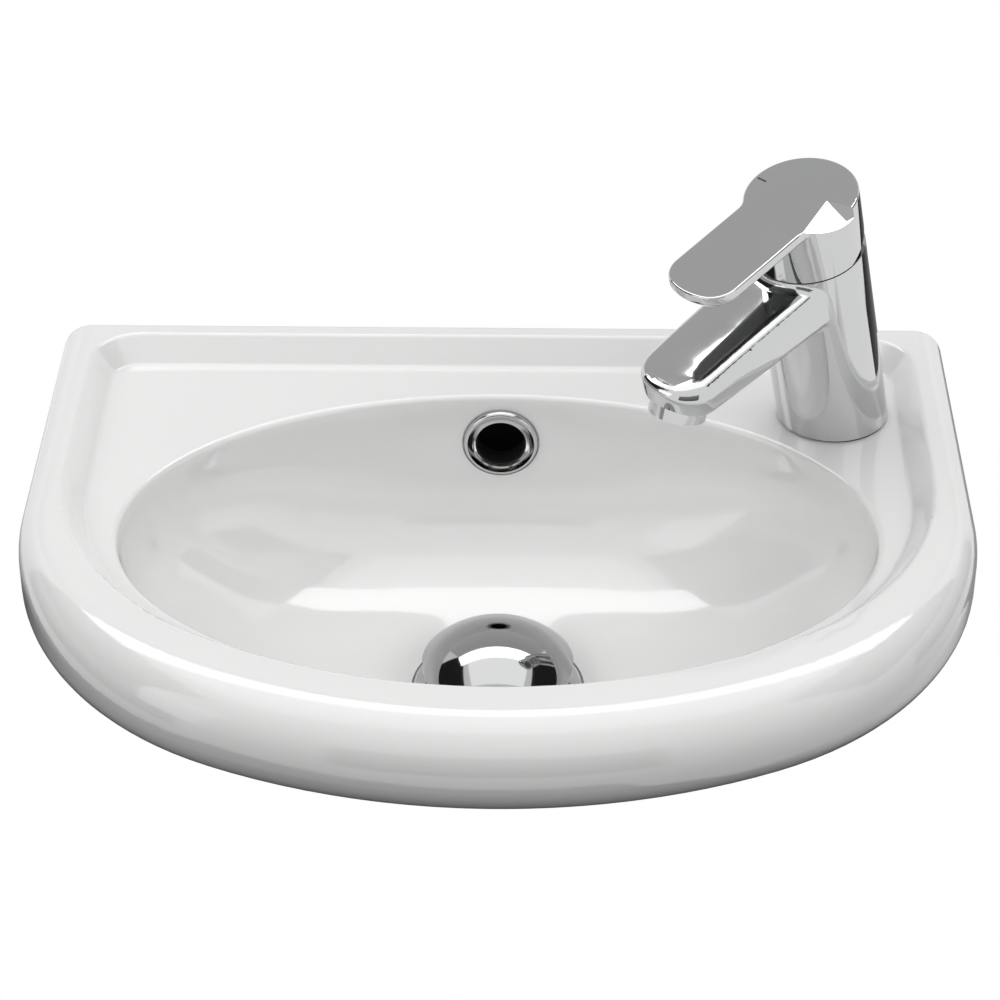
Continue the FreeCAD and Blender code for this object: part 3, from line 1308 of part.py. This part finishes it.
def make_lever():
    """The lever with its spindle, grub screw, screw plug and index mark."""
    low = d.lever_gap
    top = d.lever_top
    plate_foot = top - d.lever_thickness
    outline = keyhole_outline("lever_outline", d.tap_diameter / 2, d.lever_neck_fillet, d.lever_width / 2,
                              d.lever_reach, d.lever_tip_corner, d.lever_tip_nose)
    place(outline, 0, 0, plate_foot)
    plate = extrude("lever_plate", outline, d.lever_thickness)
    edged = fillet("lever_edged", plate, lambda point: d.lever_edge_fillet,
                   lambda edge: lies_at(edge, "z", top))
    soft = fillet("lever_soft", edged, lambda point: d.lever_under_fillet,
                  lambda edge: lies_at(edge, "z", plate_foot))
    skirt = cylinder("lever_skirt", d.tap_diameter, top - d.lever_edge_fillet - low, 0, 0, low)
    ceiling = top - d.lever_ceiling
    bore = cylinder("lever_bore", d.tap_diameter - d.lever_wall * 2, ceiling - low + d.overrun, 0, 0,
                    low - d.overrun)
    long = d.tap_diameter * 2
    relief = box("lever_relief", long, long, long, -float(long), -float(long) / 2, -float(long))
    tilt = Rotation(Vector(0, 1, 0), float(d.lever_relief_angle))
    relief.Placement = Placement(Vector(0, 0, float(low)), tilt).multiply(relief.Placement)
    facet = box("lever_facet", d.lever_width, d.tap_diameter, d.tap_diameter)
    spread = Rotation(Vector(0, 0, 1), float(d.lever_facet_spread_angle))
    slope = Rotation(Vector(1, 0, 0), -float(d.lever_facet_angle))
    spot = Vector(-float(d.lever_facet_back), float(d.lever_facet_side), float(top))
    facet.Placement = Placement(spot, spread.multiply(slope))
    pocket = box("index_pocket", d.index_width, d.index_length, d.overrun,
                 d.index_forward - d.index_width / 2, -d.index_out - d.index_length / 2, top - d.index_depth)
    hollow = cut("lever_hollow", fuse("lever_blank", soft, skirt), bore, relief, pocket, facet)
    boss = cylinder("lever_boss", d.lever_boss_diameter, d.lever_boss_length + d.lever_ceiling / 2, 0, 0,
                    ceiling - d.lever_boss_length)
    bossed = fuse("lever_bossed", hollow, boss)
    square = d.spindle_width + d.fit_clearance * 2
    socket_foot = ceiling - d.lever_boss_length - d.overrun
    socket = box("lever_socket", square, square, d.spindle_top + d.fit_clearance - socket_foot, -square / 2,
                 -square / 2, socket_foot)
    grub_hole = cylinder("grub_hole", d.grub_diameter + d.fit_clearance * 2, d.tap_diameter, 0, 0,
                         d.grub_height, ALONG_X)
    wall = d.tap_diameter / 2
    plug_hole = cylinder("plug_hole", d.plug_diameter + d.fit_clearance * 2, d.tap_diameter,
                         wall - d.lever_wall - d.fit_clearance, 0, d.grub_height, ALONG_X)
    node("lever_handle", cut("lever_handle", bossed, socket, grub_hole, plug_hole), joint_frame)

    half = d.spindle_width / 2
    node("grub_screw", cylinder("grub_screw", d.grub_diameter, d.grub_length, float(half), 0,
                                float(d.grub_height), ALONG_X), joint_frame)
    node("screw_plug", cylinder("screw_plug", d.plug_diameter, d.plug_thickness,
                                float(wall - d.lever_wall), 0, float(d.grub_height), ALONG_X), joint_frame)
    slim = d.index_width - d.fit_clearance * 2
    short = d.index_length - d.fit_clearance * 2
    node("index_mark", box("index_mark", slim, short, d.index_depth, float(d.index_forward - slim / 2),
                           -float(d.index_out + short / 2), float(top - d.index_depth)), joint_frame)

    carrier_foot = (d.cartridge_foot - d.cartridge_depth + d.base_thickness + d.fixed_disc_thickness
                    + d.running_clearance + d.moving_disc_thickness)
    ball_level = carrier_foot + d.ball_clearance * 2 + d.ball_diameter / 2
    hub_foot = d.pivot_height - d.spindle_hub_diameter / 2
    bar = box("spindle_bar", d.spindle_width, d.spindle_width, d.spindle_top - hub_foot, -half, -half,
              hub_foot)
    arm = cylinder("spindle_arm", d.arm_diameter, hub_foot - ball_level + d.fit_clearance, 0, 0, ball_level)
    ball = sphere("spindle_ball", d.ball_diameter, 0, 0, ball_level)
    eye = cylinder("spindle_eye", d.pin_diameter + d.running_clearance * 2, d.cartridge_diameter, 0,
                   -d.cartridge_diameter / 2, d.pivot_height, ALONG_Y)
    blank = fuse("spindle_blank", bar, arm, ball)
    node("cartridge_spindle", cut("cartridge_spindle", blank, eye), joint_frame)


for make in (make_basin, make_overflow, make_waste, make_click, make_plug, make_tap_body, make_aerator,
             make_fixing, make_cartridge, make_lever):
    make()
doc.recompute()

broken = [o.Name for o in doc.Objects if "Invalid" in o.State or "Error" in o.State]
if broken:
    raise RuntimeError(f"failed objects: {broken}")
os.makedirs("parts", exist_ok=True)
for label, part in parts.items():
    if part.Shape.isNull() or not part.Shape.isValid():
        raise RuntimeError(f"{label} has no valid shape")
for label, part in parts.items():
    part.Shape.exportStep(os.path.join("parts", f"{label}.step"))
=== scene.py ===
import json
import math

import bmesh
import bpy
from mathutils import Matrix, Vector


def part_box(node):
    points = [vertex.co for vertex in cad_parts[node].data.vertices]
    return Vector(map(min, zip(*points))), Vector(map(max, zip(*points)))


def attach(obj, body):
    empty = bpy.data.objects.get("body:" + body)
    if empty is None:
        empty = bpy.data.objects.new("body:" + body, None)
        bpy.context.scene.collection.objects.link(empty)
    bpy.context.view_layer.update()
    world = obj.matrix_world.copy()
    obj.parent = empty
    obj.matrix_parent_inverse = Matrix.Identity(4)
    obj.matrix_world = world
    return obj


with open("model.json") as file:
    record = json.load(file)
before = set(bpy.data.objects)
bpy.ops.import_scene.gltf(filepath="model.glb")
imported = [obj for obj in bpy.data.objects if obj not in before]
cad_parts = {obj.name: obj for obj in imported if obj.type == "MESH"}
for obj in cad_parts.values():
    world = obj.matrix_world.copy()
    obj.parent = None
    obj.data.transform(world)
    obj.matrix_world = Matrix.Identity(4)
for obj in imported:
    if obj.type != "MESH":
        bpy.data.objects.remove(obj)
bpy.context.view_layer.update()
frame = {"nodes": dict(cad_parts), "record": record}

MM = 0.001
nodes_by_name = frame["nodes"]
scene = bpy.context.scene

# The photograph's view, worked out from the basin's outline in it.
CAMERA_SPOT = Vector((13.7, -1065.7, 718.7)) * MM
CAMERA_FORWARD = Vector((-0.0112, 0.8205, -0.5716))
CAMERA_LENS = 110.07
SENSOR_WIDTH = 36.0

# The floor, and the world's light: its strength at two heights of the sky.
WHITE = (1, 1, 1, 1)
FLOOR_COLOUR = (0.32, 0.32, 0.32, 1)
FLOOR_ROUGHNESS = 0.9
FLOOR_DROP = 1.5
FLOOR_SIZE = 3.0
SKY_HEIGHTS = (0.02, 0.5)
SKY_STRENGTHS = (0.01, 0.80)

# What most lamps and cards are aimed at.
BASIN = (0, -0.12, 0.02)
TAP = (0.11, -0.07, 0.11)

# Soft lamps on the basin: name, place, width and height, power.
LAMPS = (
    ("top_light", (-0.10, 0.15, 1.40), (1.1, 0.8), 4.8),
    ("right_light", (1.25, -0.7, 0.85), (0.9, 0.9), 3.6),
    ("left_light", (-1.1, -0.9, 1.0), (0.9, 0.9), 3.6),
)

# Cards that only reflections show: name, place, aim, width and height, strength at one end and
# at the other, and the card's own axis along which it changes.
CARDS = (
    ("back_card", (0, 1.5, 1.5), TAP, (3.2, 1.6), (0.66, 0.48), "Y"),
    ("sky_card", (0, -0.05, 1.5), BASIN, (1.7, 1.1), (1.6, 1.6), "Y"),
    ("strip_card", (0, 0.50, 1.40), BASIN, (2.2, 0.42), (3.4, 3.4), "Y"),
    ("window_card", (-1.3, -0.9, 0.6), BASIN, (0.5, 0.8), (1.6, 1.6), "Y"),
    ("front_low_flag", (-0.45, -0.40, -0.5), (-0.45, -0.40, 0), (1.7, 1.8), (0.03, 0.03), "Y"),
    ("left_back_flag", (-0.45, 0.80, -0.5), (-0.45, 0.80, 0), (1.7, 0.6), (0.03, 0.95), "Y"),
    ("right_low_flag", (0.72, 0.95, -0.5), (0.72, 0.95, 0), (0.85, 0.9), (0.02, 0.3), "X"),
    ("right_under_flag", (0.60, 0, -0.5), (0.60, 0, 0), (0.4, 1.0), (0.9, 0.05), "X"),
    ("left_flag", (-1.9, -0.2, 0.45), (0, -0.2, 0.3), (2.4, 1.4), (0.35, 0.5), "Y"),
    ("right_flag", (1.9, 0.6, 0.2), (0, -0.2, 0.3), (1.6, 0.9), (0.40, 0.55), "Y"),
    ("left_high_flag", (-1.45, 0.05, 1.1), BASIN, (1.5, 1.15), (0.02, 0.02), "Y"),
    ("right_high_flag", (1.45, 0.05, 1.1), BASIN, (1.5, 1.15), (0.02, 0.02), "Y"),
    ("front_flag", (0, -2.2, 0.55), (0, 0, 0.3), (2.2, 1.3), (0.10, 0.3), "Y"),
)

# Colours of the finishes.
GLAZE = (0.79, 0.79, 0.785, 1)
BISCUIT = (0.66, 0.62, 0.56, 1)
# Painted shade: near black on the overflow channel's upper walls.
CHANNEL_SHADE = (0.006, 0.006, 0.006, 1)
CHROME = (0.60, 0.603, 0.608, 1)
# Painted shade: a darker copy of the chrome, for the plug dome.
SHADED_DOME_CHROME = (0.44, 0.442, 0.446, 1)
# Painted shade: the darker colour of the lever's underside.
UNDERSIDE_SHADE = (0.16, 0.161, 0.164, 1)
BRASS = (0.66, 0.47, 0.19, 1)
STEEL = (0.55, 0.55, 0.56, 1)
RUBBER = (0.022, 0.022, 0.023, 1)
WHITE_PLASTIC = (0.74, 0.74, 0.72, 1)
GREY_PLASTIC = (0.22, 0.225, 0.235, 1)
BLACK_PLASTIC = (0.006, 0.006, 0.006, 1)
LAPPED_CERAMIC = (0.75, 0.72, 0.66, 1)
INK = (0.03, 0.03, 0.032, 1)

# The glaze's coat and refraction, and how rough bare clay and the lever's underside are.
COAT_WEIGHT = 0.7
COAT_ROUGHNESS = 0.03
GLAZE_IOR = 1.52
CLAY_ROUGHNESS = 0.8
UNDERSIDE_ROUGHNESS = 0.3

# How far a finish's roughness varies, as shares of it, on turned and on moulded pieces.
TURNED_SPREAD = (0.8, 1.25)
MOULDED_SPREAD = (0.85, 1.15)

# The size and depth of the grain on moulded pieces.
GRAIN = 0.8 * MM
GRAIN_DEPTH = 0.03 * MM
RUBBER_GRAIN = 0.6 * MM
FINE_GRAIN = 0.3 * MM
FINE_GRAIN_DEPTH = 0.01 * MM

# The range that noise mostly stays in.
NOISE_LOW = 0.3
NOISE_HIGH = 0.7

# The colour sockets of a mix node, whose names other sockets share.
MIX_FIRST = 6
MIX_SECOND = 7
MIX_RESULT = 2

# Where glaze turns to bare clay: towards the wall along Y, and down to the waste's boss along Z.
BARE_BACK = (-0.6 * MM, -0.2 * MM)
BARE_BOSS = (-44.3 * MM, -43.7 * MM)

# Corners of a box that holds the upper walls of the overflow channel and no other face of the
# basin; those walls are coloured near black as painted shade.
CHANNEL_LOW = (-14.2 * MM, -34 * MM, -5 * MM)
CHANNEL_HIGH = (14.2 * MM, -13.8 * MM, 46 * MM)

# The leaning tap's own upward direction, and how far along it the normals of the lever's
# underside point.
TAP_AXIS = (-0.177046, -0.177046, 0.968148)
UNDERSIDE = (-0.9, -0.75)

# The dome's outer ball, and how far a facet may sag inside it.
DOME_RADIUS = 39.97 * MM
DOME_SAG = 0.3 * MM

# The threads that show: their low and high ends, the cylinder's radius and the pitch.
TAIL_THREAD = (-66.2 * MM, -58.2 * MM, 20.9 * MM, 2.31 * MM)
STUD_THREAD = (-0.5 * MM, 24.0 * MM, 4.0 * MM, 1.25 * MM)

# A thread's ridge: widths and height as shares of the pitch, how deep its root is sunk, the steps
# in a turn, and the steps over which it runs out at an end.
FOOT_SHARE = 0.72
CREST_SHARE = 0.18
RISE_SHARE = 0.22
ROOT_SINK = 0.05 * MM
COIL_STEPS = 40
RUN_OUT = 10

# Shading of the solids' facets: seams closer than the gap are welded, edges over the angle stay
# sharp, and so do those within the depth of the lever's flat top.
WELD_GAP = 0.002 * MM
SHARP_ANGLE = math.radians(32)
FLAT_DEPTH = 0.01 * MM


class Tree:
    """A node tree with short ways to add nodes and to feed their sockets."""

    def __init__(self, tree):
        self.tree = tree

    def feed(self, socket, term):
        """Joins the socket to another node's output, or gives it a plain value."""
        if isinstance(term, bpy.types.NodeSocket):
            self.tree.links.new(term, socket)
        else:
            socket.default_value = term

    def add(self, kind, inputs=None, **settings):
        node = self.tree.nodes.new(kind)
        for key, setting in settings.items():
            setattr(node, key, setting)
        for key, term in (inputs or {}).items():
            self.feed(node.inputs[key], term)
        return node

    def number(self, operation, first, second):
        node = self.add("ShaderNodeMath", {0: first, 1: second}, operation=operation)
        return node.outputs["Value"]

    def vector(self, operation, *terms):
        return self.add("ShaderNodeVectorMath", dict(enumerate(terms)), operation=operation)

    def part(self, vector, axis):
        """The vector's X, Y or Z."""
        split = self.add("ShaderNodeSeparateXYZ", {"Vector": vector})
        return split.outputs[axis]

    def spread(self, source, low, high, start=NOISE_LOW, end=NOISE_HIGH):
        """source, from start to end, mapped to low to high."""
        node = self.add("ShaderNodeMapRange", {"Value": source, "From Min": start, "From Max": end,
                                               "To Min": low, "To Max": high})
        return node.outputs["Result"]

    def seen_rays(self):
        """1 for rays that look at the background: from the camera, off metal or through glass."""
        path = self.add("ShaderNodeLightPath")
        seen = path.outputs["Is Camera Ray"]
        for name in ("Is Glossy Ray", "Is Transmission Ray"):
            seen = self.number("MAXIMUM", seen, path.outputs[name])
        return seen

    def above(self, value, limit):
        """Whether the value is over the limit."""
        node = self.add("FunctionNodeCompare", {"A": value, "B": limit}, operation="GREATER_THAN")
        return node.outputs["Result"]


class Shader(Tree):
    """A material whose textures lie in the object's own space."""

    def __init__(self, name):
        self.material = bpy.data.materials.new(name)
        self.material.use_nodes = True
        super().__init__(self.material.node_tree)
        self.surface = self.tree.nodes["Principled BSDF"]
        self.place = self.add("ShaderNodeTexCoord").outputs["Object"]

    def use(self, **sockets):
        """Feeds the surface's sockets, with an underscore for each space in their names."""
        for name, term in sockets.items():
            self.feed(self.surface.inputs[name.replace("_", " ")], term)

    def noise(self, size, detail=3.0, stretch=(1, 1, 1)):
        """Noise whose blobs are about size metres across."""
        scaled = self.add("ShaderNodeMapping", {"Vector": self.place, "Scale": stretch})
        node = self.add("ShaderNodeTexNoise", {"Vector": scaled.outputs["Vector"],
                                               "Scale": 1 / size, "Detail": detail})
        return node.outputs["Fac"]

    def blend(self, factor, first, second):
        """Colour from first to second as factor goes from 0 to 1."""
        node = self.add("ShaderNodeMix", {"Factor": factor, MIX_FIRST: first, MIX_SECOND: second},
                        data_type="RGBA")
        return node.outputs[MIX_RESULT]

    def bump(self, height, depth, strength):
        node = self.add("ShaderNodeBump", {"Height": height, "Distance": depth,
                                           "Strength": strength})
        return node.outputs["Normal"]

    def inside(self, low, high):
        """1 between the corners low and high of an upright box, 0 outside it."""
        within = 1
        for axis, start, end in zip("XYZ", low, high):
            along = self.part(self.place, axis)
            for operation, limit in (("GREATER_THAN", start), ("LESS_THAN", end)):
                within = self.number("MULTIPLY", within, self.number(operation, along, limit))
        return within


def shade(colour, share):
    """The colour, darkened to a share of itself."""
    return tuple(channel * share for channel in colour[:3]) + (1,)


def glazed_ceramic():
    """White glaze, bare clay at the wall and under the waste's boss, painted shade in the overflow
    channel.
    """
    s = Shader("glazed_ceramic")
    cloud = s.spread(s.noise(size=90 * MM, detail=2.0), low=0, high=1)
    glaze = s.blend(cloud, shade(GLAZE, share=0.985), GLAZE)
    grain = s.spread(s.noise(size=1.2 * MM, detail=4.0), low=0, high=1)
    clay = s.blend(grain, shade(BISCUIT, share=0.9), BISCUIT)
    at_wall = s.spread(s.part(s.place, "Y"), 0, 1, *BARE_BACK)
    at_boss = s.spread(s.part(s.place, "Z"), 1, 0, *BARE_BOSS)
    bare = s.number("MAXIMUM", at_wall, at_boss)
    channel = s.inside(CHANNEL_LOW, CHANNEL_HIGH)
    dull = s.number("MAXIMUM", bare, channel)
    smooth = s.spread(s.noise(size=30 * MM), low=0.07, high=0.13)
    rough = s.number("MULTIPLY", dull, CLAY_ROUGHNESS)
    waves = s.noise(size=9 * MM, detail=1.0)
    # The overflow channel's walls take a near-black painted shade.
    s.use(Base_Color=s.blend(channel, s.blend(bare, glaze, clay), CHANNEL_SHADE), IOR=GLAZE_IOR,
          Roughness=s.number("MAXIMUM", smooth, rough),
          Coat_Weight=s.spread(dull, COAT_WEIGHT, 0, start=0, end=1), Coat_Roughness=COAT_ROUGHNESS,
          Normal=s.bump(waves, depth=0.05 * MM, strength=0.25))
    return s.material


def polish(s):
    """Makes the shader a plated metal with faint polishing marks, and gives its roughness."""
    marks = s.noise(size=14 * MM, detail=2.0, stretch=(1, 1, 0.35))
    s.use(Metallic=1.0, Normal=s.bump(marks, depth=0.02 * MM, strength=0.2))
    return s.spread(s.noise(size=24 * MM, detail=4.0), low=0.025, high=0.075)


def chrome(name, colour):
    """Polished plate."""
    s = Shader(name)
    s.use(Base_Color=colour, Roughness=polish(s))
    return s.material


def lever_chrome():
    """Polished plate, duller on the underside, whose colour is darkened there as painted shade."""
    s = Shader("lever_chrome")
    normal = s.add("ShaderNodeTexCoord").outputs["Normal"]
    facing = s.vector("DOT_PRODUCT", normal, TAP_AXIS).outputs["Value"]
    under = s.spread(facing, 1, 0, *UNDERSIDE)
    rough = s.number("MULTIPLY", under, UNDERSIDE_ROUGHNESS)
    # Painted shade: the lever's underside is darkened.
    s.use(Base_Color=s.blend(under, CHROME, UNDERSIDE_SHADE), Roughness=s.number("MAXIMUM", polish(s), rough))
    return s.material


def turned_metal(name, colour, roughness):
    """Machined metal with fine turning marks and a little tarnish."""
    s = Shader(name)
    tarnish = s.spread(s.noise(size=11 * MM, detail=4.0), low=0, high=1)
    marks = s.noise(size=6 * MM, detail=2.0, stretch=(1, 1, 18))
    s.use(Metallic=1.0, Base_Color=s.blend(tarnish, shade(colour, share=0.78), colour),
          Roughness=s.spread(s.noise(size=3 * MM), *(roughness * share for share in TURNED_SPREAD)),
          Normal=s.bump(marks, depth=0.03 * MM, strength=0.4))
    return s.material


def moulded(name, colour, roughness, grain=GRAIN, depth=GRAIN_DEPTH):
    """Plastic, rubber or the like with a fine grain."""
    s = Shader(name)
    mottle = s.spread(s.noise(size=7 * MM), low=0, high=1)
    fine = s.noise(size=grain)
    s.use(Base_Color=s.blend(mottle, shade(colour, share=0.88), colour),
          Roughness=s.spread(fine, *(roughness * share for share in MOULDED_SPREAD)),
          Normal=s.bump(fine, depth=depth, strength=0.5))
    return s.material


def coil(name, node, low, high, radius, pitch, finish, slot):
    """A thread's ridge about a node's upright axis from low to high, run out at both ends."""
    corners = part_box(node)
    middle_x, middle_y = ((corners[0][axis] + corners[1][axis]) / 2 for axis in (0, 1))
    foot, crest, rise = pitch * FOOT_SHARE / 2, pitch * CREST_SHARE / 2, pitch * RISE_SHARE
    root = radius - ROOT_SINK
    steps = int((high - low - 2 * foot) / pitch * COIL_STEPS)
    built = bmesh.new()
    rows = []
    for step in range(steps + 1):
        turn = step / COIL_STEPS * 2 * math.pi
        level = low + foot + step / COIL_STEPS * pitch
        top = radius + rise * min(1, step / RUN_OUT, (steps - step) / RUN_OUT)
        section = ((root, -foot), (top, -crest), (top, crest), (root, foot))
        rows.append([built.verts.new((middle_x + out * math.cos(turn),
                                      middle_y + out * math.sin(turn), level + up))
                     for out, up in section])
    for row, after in zip(rows, rows[1:]):
        for side in range(len(row)):
            other = (side + 1) % len(row)
            built.faces.new((row[side], after[side], after[other], row[other]))
    built.faces.new(rows[0])
    built.faces.new(rows[-1])
    bmesh.ops.recalc_face_normals(built, faces=built.faces)
    mesh = bpy.data.meshes.new(name)
    built.to_mesh(mesh)
    built.free()
    mesh.materials.append(finish)
    piece = bpy.data.objects.new(name, mesh)
    scene.collection.objects.link(piece)
    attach(piece, "basin")


def dress():
    """Gives every CAD node its material, and adds the threads that show under the basin."""
    plate = chrome("chrome", CHROME)
    steel = turned_metal("steel", STEEL, roughness=0.32)
    by_node = {
        "basin": glazed_ceramic(),
        "lever_handle": lever_chrome(),
        # The plug dome's chrome is darkened as painted shade.
        "plug_dome": chrome("dome_chrome", SHADED_DOME_CHROME),
    }
    by_slot = {
        "chrome": plate,
        "steel": steel,
        "brass": turned_metal("brass", BRASS, roughness=0.3),
        "black_rubber": moulded("rubber", RUBBER, roughness=0.7, grain=RUBBER_GRAIN),
        "white_plastic": moulded("white_plastic", WHITE_PLASTIC, roughness=0.42),
        "grey_plastic": moulded("grey_plastic", GREY_PLASTIC, roughness=0.45),
        "black_plastic": moulded("black_plastic", BLACK_PLASTIC, roughness=0.6),
        "disc_ceramic": moulded("disc_ceramic", LAPPED_CERAMIC, roughness=0.22,
                                grain=FINE_GRAIN, depth=FINE_GRAIN_DEPTH),
        "index_ink": moulded("index_ink", INK, roughness=0.3,
                             grain=FINE_GRAIN, depth=FINE_GRAIN_DEPTH),
    }
    for entry in frame["record"]["subparts"]:
        name = entry["node"]
        mesh = nodes_by_name[name].data
        mesh.materials.clear()
        mesh.materials.append(by_node.get(name) or by_slot[entry["material_slot"]])
    coil("waste_thread", "waste_body", *TAIL_THREAD, plate, "chrome")
    coil("stud_thread", "fixing_stud", *STUD_THREAD, steel, "steel")


def modifier_tree(name):
    """A new tree for a geometry nodes modifier, with one geometry in and one out."""
    group = bpy.data.node_groups.new(name, "GeometryNodeTree")
    for way in ("INPUT", "OUTPUT"):
        group.interface.new_socket("Geometry", in_out=way, socket_type="NodeSocketGeometry")
    return Tree(group)


def smoothing_group(name, flat=None):
    """Welds the facets' seams and shades them smooth, but for sharp edges and those above flat."""
    t = modifier_tree(name)
    solid = t.add("NodeGroupInput").outputs[0]
    weld = t.add("GeometryNodeMergeByDistance", {"Geometry": solid, "Distance": WELD_GAP})
    soft = t.add("GeometryNodeSetShadeSmooth", {"Geometry": weld.outputs["Geometry"]})
    angle = t.add("GeometryNodeInputMeshEdgeAngle").outputs["Unsigned Angle"]
    sharp = t.above(angle, SHARP_ANGLE)
    if flat is not None:
        ends = t.add("GeometryNodeInputMeshEdgeVertices")
        both = t.vector("ADD", ends.outputs["Position 1"], ends.outputs["Position 2"])
        along = t.vector("DOT_PRODUCT", both.outputs["Vector"], TAP_AXIS).outputs["Value"]
        either = t.add("FunctionNodeBooleanMath", {0: sharp, 1: t.above(along, 2 * flat)},
                       operation="OR")
        sharp = either.outputs["Boolean"]
    crease = t.add("GeometryNodeSetShadeSmooth", {"Geometry": soft.outputs["Geometry"],
                                                  "Selection": sharp, "Shade Smooth": False},
                   domain="EDGE")
    t.add("NodeGroupOutput", {0: crease.outputs["Geometry"]})
    return t.tree


def ball_normals_group():
    """Gives the faces on the dome's outer ball that ball's own normals."""
    t = modifier_tree("ball_normals")
    low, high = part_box("plug_dome")
    middle = ((low[0] + high[0]) / 2, (low[1] + high[1]) / 2, high[2] - DOME_RADIUS)
    place = t.add("GeometryNodeInputPosition").outputs["Position"]
    out = t.vector("SUBTRACT", place, middle).outputs["Vector"]
    reach = t.vector("LENGTH", out).outputs["Value"]
    near = t.add("FunctionNodeCompare", {"A": reach, "B": DOME_RADIUS, "Epsilon": DOME_SAG},
                 operation="EQUAL")
    whole_face = t.add("GeometryNodeFieldOnDomain", {0: near.outputs["Result"]},
                       domain="FACE", data_type="BOOLEAN")
    own = t.add("GeometryNodeInputNormal").outputs["Normal"]
    ray = t.vector("NORMALIZE", out).outputs["Vector"]
    pick = t.add("GeometryNodeSwitch",
                 {"Switch": whole_face.outputs[0], "False": own, "True": ray}, input_type="VECTOR")
    turned = t.add("GeometryNodeSetMeshNormal", {"Mesh": t.add("NodeGroupInput").outputs[0]},
                   mode="FREE", domain="CORNER")
    t.feed(turned.inputs["Custom Normal"], pick.outputs["Output"])
    t.add("NodeGroupOutput", {0: turned.outputs["Mesh"]})
    return t.tree


def smooth_all():
    """Smooths every CAD node's facets with modifiers; the meshes stay as they are."""
    group = smoothing_group("smooth_facets")
    lever = nodes_by_name["lever_handle"]
    lever_top = max(Vector(TAP_AXIS).dot(vertex.co) for vertex in lever.data.vertices)
    lever_group = smoothing_group("smooth_lever", lever_top - FLAT_DEPTH)
    for node in nodes_by_name.values():
        smoothing = node.modifiers.new("smooth_facets", "NODES")
        smoothing.node_group = lever_group if node is lever else group
    dome = nodes_by_name["plug_dome"]
    dome.modifiers.new("ball_normals", "NODES").node_group = ball_normals_group()


def make_floor():
    """A pale floor that the camera sees as white."""
    bpy.ops.mesh.primitive_plane_add(size=FLOOR_SIZE, location=(0, 0, -FLOOR_DROP))
    floor = bpy.context.object
    floor.name = "floor"
    material = bpy.data.materials.new("pale_floor")
    material.use_nodes = True
    t = Tree(material.node_tree)
    surface = t.tree.nodes["Principled BSDF"]
    t.feed(surface.inputs["Base Color"], FLOOR_COLOUR)
    t.feed(surface.inputs["Roughness"], FLOOR_ROUGHNESS)
    glow = t.add("ShaderNodeEmission", {"Color": WHITE})
    mix = t.add("ShaderNodeMixShader", {"Fac": t.seen_rays(), 1: surface.outputs["BSDF"],
                                        2: glow.outputs["Emission"]})
    t.feed(t.tree.nodes["Material Output"].inputs["Surface"], mix.outputs["Shader"])
    floor.data.materials.append(material)


def make_world():
    """White where it is looked at; as a light, brighter from above than from below."""
    world = bpy.data.worlds.new("studio")
    scene.world = world
    world.use_nodes = True
    t = Tree(world.node_tree)
    t.tree.nodes.clear()
    height = t.part(t.add("ShaderNodeTexCoord").outputs["Generated"], "Z")
    strength = t.spread(height, *SKY_STRENGTHS, *SKY_HEIGHTS)
    sky = t.add("ShaderNodeBackground", {"Color": WHITE, "Strength": strength})
    white = t.add("ShaderNodeBackground", {"Color": WHITE})
    mix = t.add("ShaderNodeMixShader", {"Fac": t.seen_rays(), 1: sky.outputs["Background"],
                                        2: white.outputs["Background"]})
    t.add("ShaderNodeOutputWorld", {"Surface": mix.outputs["Shader"]})


def aim(obj, target):
    obj.rotation_euler = (Vector(target) - obj.location).to_track_quat("-Z", "Y").to_euler()


def softbox(name, spot, size, power):
    """A soft lamp on the basin that reflections don't show."""
    light = bpy.data.lights.new(name, "AREA")
    light.shape = "RECTANGLE"
    light.size, light.size_y = size
    light.energy = power
    lamp = bpy.data.objects.new(name, light)
    lamp.location = spot
    lamp.visible_glossy = False
    scene.collection.objects.link(lamp)
    aim(lamp, BASIN)


def emitting(name, strengths, along):
    """A glow that goes from the first strength to the second along one of the card's own axes."""
    material = bpy.data.materials.new(name)
    material.use_nodes = True
    t = Tree(material.node_tree)
    t.tree.nodes.clear()
    place = t.part(t.add("ShaderNodeTexCoord").outputs["Generated"], along)
    strength = t.spread(place, *strengths, start=0, end=1)
    glow = t.add("ShaderNodeEmission", {"Color": WHITE, "Strength": strength})
    t.add("ShaderNodeOutputMaterial", {"Surface": glow.outputs["Emission"]})
    return material


def card(name, spot, target, size, strengths, along):
    """A studio card that only reflections show."""
    bpy.ops.mesh.primitive_plane_add(size=1, location=spot)
    made = bpy.context.object
    made.name = name
    made.scale = (size[0], size[1], 1)
    aim(made, target)
    made.data.materials.append(emitting(name, strengths, along))
    made.visible_camera = False
    made.visible_diffuse = False
    made.visible_transmission = False
    made.visible_shadow = False


def make_studio():
    make_floor()
    make_world()
    for lamp in LAMPS:
        softbox(*lamp)
    for row in CARDS:
        card(*row)


def make_camera():
    data = bpy.data.cameras.new("photo_camera")
    data.sensor_width = SENSOR_WIDTH
    data.lens = CAMERA_LENS
    camera = bpy.data.objects.new("photo_camera", data)
    camera.location = CAMERA_SPOT
    camera.rotation_euler = CAMERA_FORWARD.to_track_quat("-Z", "Y").to_euler()
    scene.collection.objects.link(camera)
    scene.camera = camera


dress()
smooth_all()
make_studio()
make_camera()
scene.view_settings.view_transform = "Standard"
